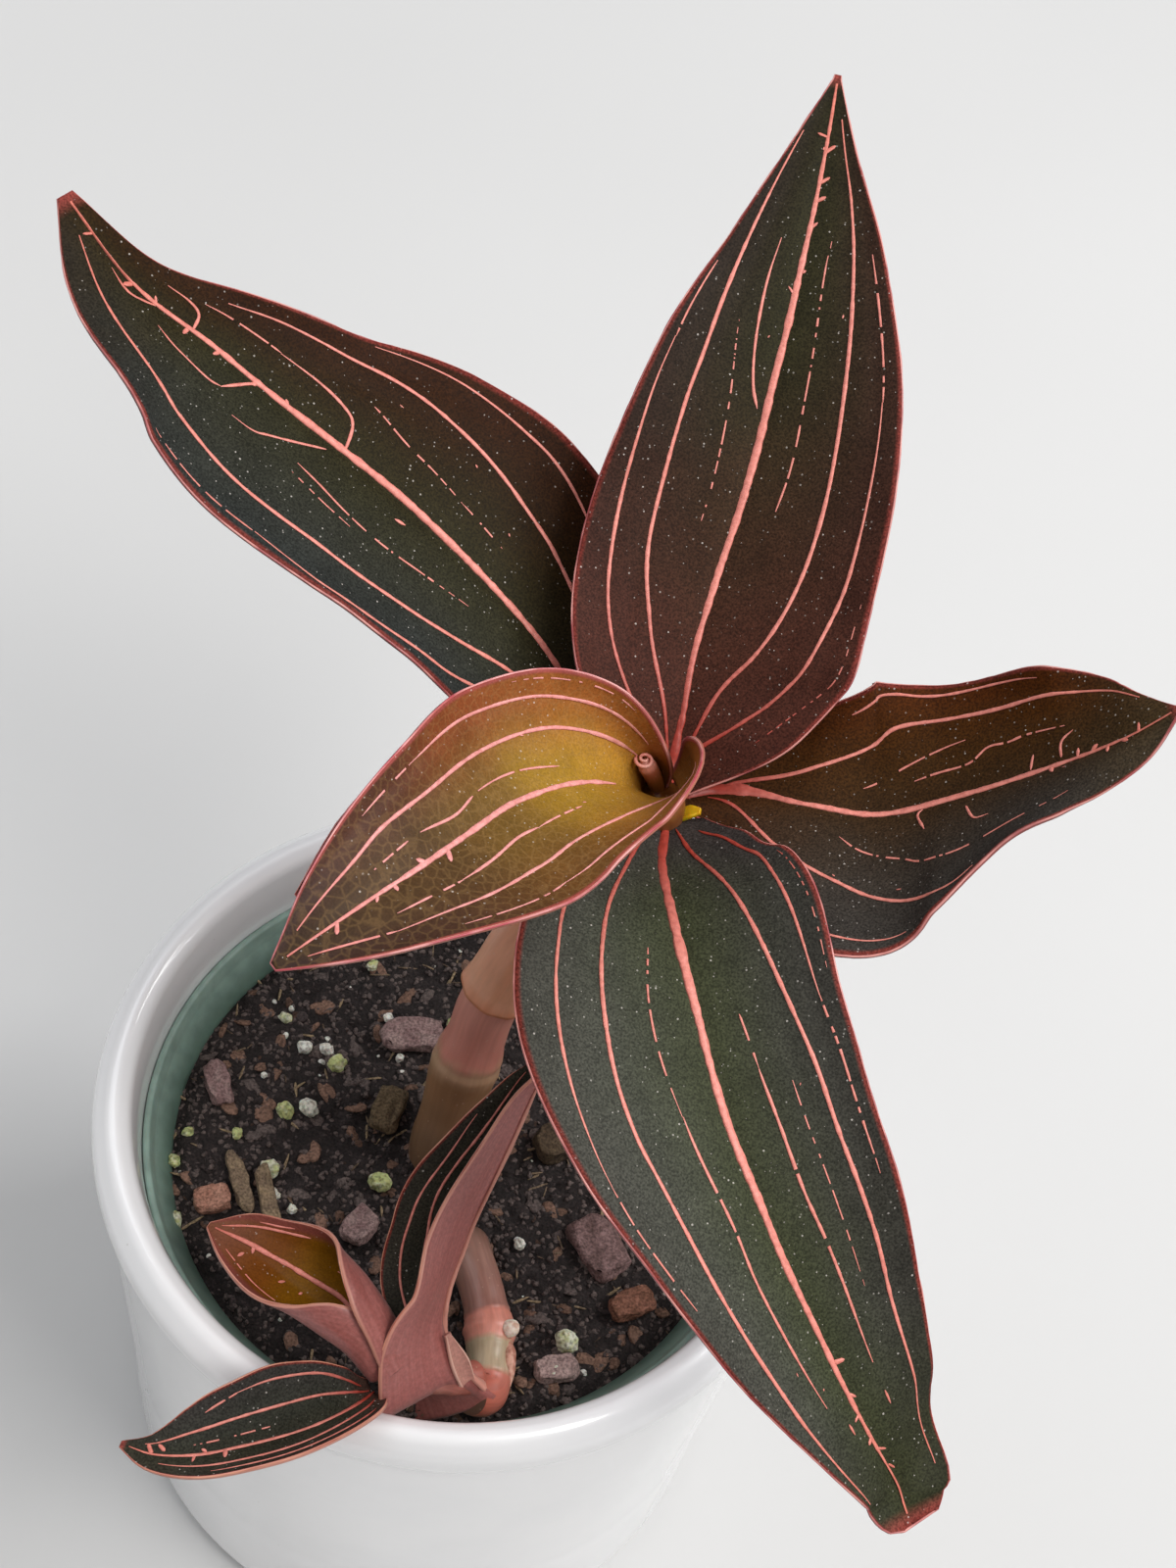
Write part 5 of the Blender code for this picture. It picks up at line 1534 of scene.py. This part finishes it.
def make_perlite(trees):
    """The grains of perlite that lie in sight."""
    mesh = bpy.data.meshes.new("mix_perlite")
    places = [((g.x * MM, g.y * MM, (soil_height(g.x, g.y) + 0.3 * g.width) * MM)) for g in PERLITE]
    mesh.from_pydata(places, [], [])
    for label, values in (("width", [g.width * MM for g in PERLITE]), ("green", [g.green for g in PERLITE])):
        mesh.attributes.new(label, "FLOAT", "POINT").data.foreach_set("value", values)
    grains = new_object("mix_perlite", mesh)
    run_tree(grains, trees["grains"], {"Finish": finish("perlite")})
    finish_piece(grains, "potting_mix")


def make_chip(name, node, chip, look, layers, lift=0.0):
    """A chip of bark or a sliver of wood: a split slab with worn edges and layered faces."""
    shape = bmesh.new()
    bmesh.ops.create_cube(shape, size=1)
    bmesh.ops.subdivide_edges(shape, edges=shape.edges[:], cuts=11, use_grid_fill=True)
    for vertex in shape.verts:
        x, y, z = vertex.co * 2
        corner = 0.86 + 0.14 * noise.noise(Vector((x * 1.3 + chip.x, y * 1.3 + chip.y, z)))
        wear = 1 - 0.16 * (x * x) * (y * y) - 0.08 * z * z * (abs(x) ** 4 + abs(y) ** 4)
        place = Vector((x * chip.length / 2 * corner * wear, y * chip.width / 2 * corner * wear,
                        z * chip.thickness / 2))
        ridges = layers * noise.noise(Vector((place.x * 0.25, place.y * 1.6, chip.x)))
        pits = 0.22 * noise.noise(place * 0.9 + Vector((chip.x, chip.y, 0)))
        slant = 0.18 * chip.thickness * noise.noise(Vector((x * 0.8, y * 0.8, chip.y)))
        place.z += (ridges + pits + slant) * (1 if z > 0 else 0.4)
        place.y += 0.25 * noise.noise(place * 0.7)
        vertex.co = place * MM
    middle = SOIL_TOP + CHIP_GAP + chip.thickness / 2 + lift
    turn = Matrix.Translation(Vector((chip.x, chip.y, middle)) * MM) @ Matrix.Rotation(
        math.radians(chip.turn), 4, "Z")
    shape.transform(turn)
    for face in shape.faces:
        face.smooth = True
    mesh = bpy.data.meshes.new(name)
    shape.to_mesh(mesh)
    shape.free()
    tint = mesh.attributes.new("tint", "FLOAT", "POINT")
    tint.data.foreach_set("value", [0.5 + 0.3 * math.sin(chip.x)] * len(mesh.vertices))
    piece = new_object(name, mesh)
    piece.data.materials.append(finish(look))
    finish_piece(piece, record_slot(node), node)


# Pots

def make_cachepot():
    """The white cachepot: a lip rolled outwards over a body that narrows a little to its foot."""
    top = POT_HEIGHT
    crease = LIP_RADIUS - 1.5
    profile = [(0, POT_FLOOR), (BODY_FOOT_RADIUS - POT_WALL, POT_FLOOR), (CACHE_MOUTH - 0.4, 60),
               (CACHE_MOUTH, 90), (CACHE_MOUTH + 0.5, top - 5), (CACHE_MOUTH + 1.4, top - 1.4),
               (CACHE_MOUTH + 3.4, top), (LIP_RADIUS - 2.4, top - 0.5), (LIP_RADIUS - 0.3, top - 2.6),
               (LIP_RADIUS, top - LIP_DEPTH + 1.4), (LIP_RADIUS - 0.7, top - LIP_DEPTH),
               (crease, top - LIP_DEPTH - 1.2), (crease + 0.1, top - LIP_DEPTH - 3.5),
               (BODY_FOOT_RADIUS + 0.4, 30), (BODY_FOOT_RADIUS, FOOT_ROUNDING),
               (BODY_FOOT_RADIUS - FOOT_ROUNDING + 1, 0), (0, 0)]
    pot = turned("cachepot", rounded(profile, 2.6, 6))
    pot.data.materials.append(finish("glazed_ceramic"))
    finish_piece(pot, record_slot("outer_pot"), "outer_pot")


def make_nursery_pot():
    """The green nursery pot: a thin wall, a turned rim, and drain holes in its floor."""
    floor_top = NURSERY_FOOT + NURSERY_FLOOR
    rim = NURSERY_RIM_HEIGHT
    inner_rim = RIM_SEEN - NURSERY_WALL
    profile = [(0, floor_top), (NURSERY_FOOT_RADIUS - NURSERY_WALL, floor_top),
               (SOIL_RADIUS - 0.8, SOIL_TOP - 4), (SOIL_RADIUS - 0.2, SOIL_TOP - 0.5),
               (inner_rim - 0.7, rim - 2.6), (inner_rim, rim), (RIM_SEEN, rim),
               (RIM_SEEN, rim - 6), (RIM_SEEN - 1.2, rim - 7),
               (NURSERY_FOOT_RADIUS, NURSERY_FOOT), (0, NURSERY_FOOT)]
    pot = turned("grow_pot", rounded(profile, 0.45, 3))
    pot.data.materials.append(finish("green_polypropylene"))
    drills = []
    for number in range(DRAIN_HOLES):
        angle = 2 * math.pi * number / DRAIN_HOLES
        shape = bmesh.new()
        bmesh.ops.create_cone(shape, cap_ends=True, segments=24, radius1=DRAIN_RADIUS * MM,
                              radius2=DRAIN_RADIUS * MM, depth=4 * NURSERY_FLOOR * MM)
        shape.transform(Matrix.Translation(Vector((DRAIN_RING * math.cos(angle),
                                                   DRAIN_RING * math.sin(angle), NURSERY_FOOT)) * MM))
        mesh = bpy.data.meshes.new("drain")
        shape.to_mesh(mesh)
        shape.free()
        drill = new_object("drain", mesh)
        drills.append(drill)
        cut = pot.modifiers.new("drain", "BOOLEAN")
        cut.operation = "DIFFERENCE"
        cut.object = drill
    apply_modifiers(pot)
    for drill in drills:
        bpy.data.objects.remove(drill)
    finish_piece(pot, record_slot("nursery_pot"), "nursery_pot")


# Stage

def camera_turn():
    """The camera's turn: it looks at the pot's mouth, which lies off the middle of the frame."""
    elevation, roll = math.radians(VIEW_ELEVATION), math.radians(VIEW_ROLL)
    back = Vector((0, -math.cos(elevation), math.sin(elevation)))
    right = Vector((1, 0, 0))
    up = back.cross(right)
    level = Matrix((right, up, back))
    rolled = Matrix(((math.cos(roll), math.sin(roll), 0), (-math.sin(roll), math.cos(roll), 0),
                     (0, 0, 1))) @ level
    middle = (IMAGE_SIZE[0] / 2, IMAGE_SIZE[1] / 2)
    to_mouth = Vector(((MOUTH_PIXEL[0] - middle[0]) / FOCAL_PIXELS,
                       -(MOUTH_PIXEL[1] - middle[1]) / FOCAL_PIXELS, -1)).normalized()
    off_middle = Vector((0, 0, -1)).rotation_difference(to_mouth).to_matrix()
    return back, (off_middle @ rolled).transposed()


def make_camera():
    back, turn = camera_turn()
    data = bpy.data.cameras.new("view")
    data.sensor_width = SENSOR
    data.lens = FOCAL_PIXELS / IMAGE_SIZE[1] * SENSOR
    data.clip_start = 0.01
    data.clip_end = 20
    view = new_object("view", data)
    place = back * VIEW_DISTANCE * MM + Vector((0, 0, POT_HEIGHT * MM))
    view.matrix_world = Matrix.Translation(place) @ turn.to_4x4()
    bpy.context.scene.camera = view


def make_light(name, place, aim, size, power, colour):
    """A soft box: a square area light that faces a point."""
    data = bpy.data.lights.new(name, "AREA")
    data.shape = "SQUARE"
    data.size = size
    data.energy = power
    data.color = linear(colour)[:3]
    lamp = new_object(name, data)
    way = Vector(aim) - Vector(place)
    lamp.matrix_world = Matrix.Translation(place) @ way.to_track_quat("-Z", "Y").to_matrix().to_4x4()


def make_floor():
    """A plain matt floor that runs up into a backdrop far behind the pot."""
    made, tree, shader = new_material("matt_paper", 0.9, Specular_IOR_Level=0.1)
    paper = blend(tree, stretch(tree, grain(tree, 300, 2.0), 0.3, 0.7), "#d2d2d2", "#d6d6d6")
    tree.links.new(paper, shader.inputs["Base Color"])
    rows = []
    for across in (-BACKDROP_HALF_WIDTH, BACKDROP_HALF_WIDTH):
        rows.append([(across / MM, back / MM, up / MM) for back, up in BACKDROP])
    floor = new_object("floor", sheet_mesh("floor", rows))
    floor.data.materials.append(made)


def make_sky(settings):
    """Even studio light from all round, a little brighter from above."""
    world = bpy.data.worlds.new("studio")
    world.use_nodes = True
    tree = world.node_tree
    background = tree.nodes["Background"]
    up = add(tree, "ShaderNodeSeparateXYZ", {"Vector": add(tree, "ShaderNodeTexCoord").outputs["Generated"]})
    shade = ramp(tree, up.outputs["Z"], [(0.0, "#30302e"), (0.45, "#7a7a78"), (1.0, "#ffffff")])
    tree.links.new(shade, background.inputs["Color"])
    background.inputs["Strength"].default_value = settings.sky_strength
    bpy.context.scene.world = world


# Add-on

class OrchidLeaves(bpy.types.PropertyGroup):
    blade_thickness: FloatProperty(name="Blade thickness", description="How thick a leaf's blade is",
                                   default=0.6 * MM, unit="LENGTH")
    vein_height: FloatProperty(name="Vein height", description="A vein's height as a share of its width",
                               default=0.42, subtype="FACTOR")
    vein_ragged: FloatProperty(name="Vein raggedness", description="How uneven a vein's width is",
                               default=0.22, subtype="FACTOR")
    margin_width: FloatProperty(name="Margin width", description="Width of the cord round a blade",
                                default=0.5 * MM, unit="LENGTH")
    vein_colour: FloatVectorProperty(name="Vein colour", description="Colour of the grown leaves' veins",
                                     default=linear("#ea9184")[:3], subtype="COLOR")

    def vein_colour_hex(self):
        """The vein colour as an sRGB hex value."""
        parts = []
        for value in self.vein_colour:
            bright = value * 12.92 if value <= 0.0031308 else 1.055 * value ** (1 / 2.4) - 0.055
            parts.append(f"{round(bright * 255):02x}")
        return "#" + "".join(parts)


class OrchidMix(bpy.types.PropertyGroup):
    crumb_density: FloatProperty(name="Crumbs", description="Crumbs of humus on a square metre",
                                 default=1200000.0)
    seed: IntProperty(name="Seed", description="Changes where the crumbs lie", default=3)


class OrchidStage(bpy.types.PropertyGroup):
    key_power: FloatProperty(name="Key light", description="Power of the main soft box",
                             default=8.2, unit="POWER")
    fill_power: FloatProperty(name="Fill light", description="Power of the soft box on the left",
                              default=2.6, unit="POWER")
    front_power: FloatProperty(name="Front light", description="Power of the soft box at the front right",
                               default=5.6, unit="POWER")
    sky_strength: FloatProperty(name="Sky", description="Strength of the even light", default=0.98)


class OrchidSettings(bpy.types.PropertyGroup):
    leaves: PointerProperty(name="Leaves", description="Sizes and colours of the leaves", type=OrchidLeaves)
    mix: PointerProperty(name="Potting mix", description="What the potting mix is made of", type=OrchidMix)
    stage: PointerProperty(name="Stage", description="Light on the object", type=OrchidStage)


class ORCHID_OT_stage(bpy.types.Operator):
    """Set up the floor, the soft light and the camera"""
    bl_idname = "orchid.stage"
    bl_label = "Stage"

    def execute(self, context):
        settings = context.scene.orchid.stage
        context.scene.view_settings.view_transform = "Standard"
        make_floor()
        make_sky(settings)
        make_light("key", (0.85, 0.25, 1.0), LIGHT_AIM, 0.5, settings.key_power, "#ffffff")
        make_light("fill", (-0.7, 0.45, 1.1), LIGHT_AIM, 0.7, settings.fill_power, "#f4f8ff")
        make_light("front", (0.5, -0.35, 1.1), LIGHT_AIM, 0.4, settings.front_power, "#fffcf8")
        make_camera()
        return {"FINISHED"}


class ORCHID_OT_pots(bpy.types.Operator):
    """Make the white cachepot and the green nursery pot in it"""
    bl_idname = "orchid.pots"
    bl_label = "Pots"

    def execute(self, context):
        make_cachepot()
        make_nursery_pot()
        return {"FINISHED"}


class ORCHID_OT_mix(bpy.types.Operator):
    """Fill the nursery pot with potting mix, perlite, bark and wood"""
    bl_idname = "orchid.mix"
    bl_label = "Potting mix"

    def execute(self, context):
        trees = {"crumbs": crumb_tree(), "grains": grain_tree()}
        make_mix(context.scene.orchid.mix, trees)
        looks = ("bark_mauve", "bark_mauve", "bark_red", "bark_mauve", "bark_dark", "bark_mauve",
                 "bark_red", "bark_mauve", "bark_dark", "bark_mauve")
        for number, (chip, look) in enumerate(zip(BARK_CHIPS, looks), 1):
            make_chip(f"bark_{number}", f"bark_chip_{number}", chip, look, 0.45)
        for number, chip in enumerate(WOOD_SLIVERS, 1):
            wide = chip._replace(width=chip.width * 1.4)
            make_chip(f"sliver_{number}", f"wood_sliver_{number}", wide, "wood_grain", 0.3, SLIVER_LIFT)
        return {"FINISHED"}


class ORCHID_OT_stems(bpy.types.Operator):
    """Make the stem, its sheath, the rhizome, the shoot's base and the roots"""
    bl_idname = "orchid.stems"
    bl_label = "Stems"

    def execute(self, context):
        make_stem("stem", "main_stem", MAIN_STEM, "stem_skin", (0.29, 0.46), 150, 48)
        make_sheath()
        make_stem("rhizome_body", "rhizome", RHIZOME, "rhizome_skin", (0.55, 0.69, 0.83), 120, 44)
        make_stem("shoot_sheath", "shoot_base", SHOOT_BASE, "shoot_skin", (0.35,), 70, 40, ends=0.12)
        make_stem("root_tip", "aerial_root", AERIAL_ROOT, "velamen", (), 24, 20, ends=0.3)
        make_stem("thin_scale", "root_scale", ROOT_SCALE, "papery_scale", (), 24, 16, ends=0.3)
        make_stem("leaf_foot", None, LEAF_FOOT, "foot_painted_shade", (), 40, 36, ends=0.2)
        make_stem("leaf_roll", "new_leaf_roll", NEW_LEAF_ROLL, "new_leaf", (), 40, 24, ends=0.12)
        make_stem("leaf_coil", None, coil_rings(), "coil_edge_painted_light", (), 90, 12, ends=0.1)
        return {"FINISHED"}


class ORCHID_OT_leaves(bpy.types.Operator):
    """Make every leaf and bract with its veins and margin"""
    bl_idname = "orchid.leaves"
    bl_label = "Leaves"

    def execute(self, context):
        trees = {"veins": vein_tree()}
        for name, leaf in LEAVES.items():
            make_leaf(name, leaf, context.scene.orchid.leaves, trees)
        return {"FINISHED"}


class ORCHID_PT_panel(bpy.types.Panel):
    """The steps that make the orchid"""
    bl_idname = "ORCHID_PT_panel"
    bl_label = "Jewel orchid"
    bl_space_type = "VIEW_3D"
    bl_region_type = "UI"
    bl_category = "Orchid"

    def draw(self, context):
        for step in STEPS:
            self.layout.operator(step.bl_idname)


STEPS = (ORCHID_OT_stage, ORCHID_OT_pots, ORCHID_OT_mix, ORCHID_OT_stems, ORCHID_OT_leaves)
CLASSES = (OrchidLeaves, OrchidMix, OrchidStage, OrchidSettings, *STEPS, ORCHID_PT_panel)


def register():
    for part in CLASSES:
        bpy.utils.register_class(part)
    bpy.types.Scene.orchid = PointerProperty(name="Orchid", description="The orchid's settings",
                                             type=OrchidSettings)


def unregister():
    del bpy.types.Scene.orchid
    for part in reversed(CLASSES):
        bpy.utils.unregister_class(part)


def main():
    register()
    bpy.ops.orchid.stage()
    bpy.ops.orchid.pots()
    bpy.ops.orchid.mix()
    bpy.ops.orchid.stems()
    bpy.ops.orchid.leaves()


if __name__ == "__main__":
    main()
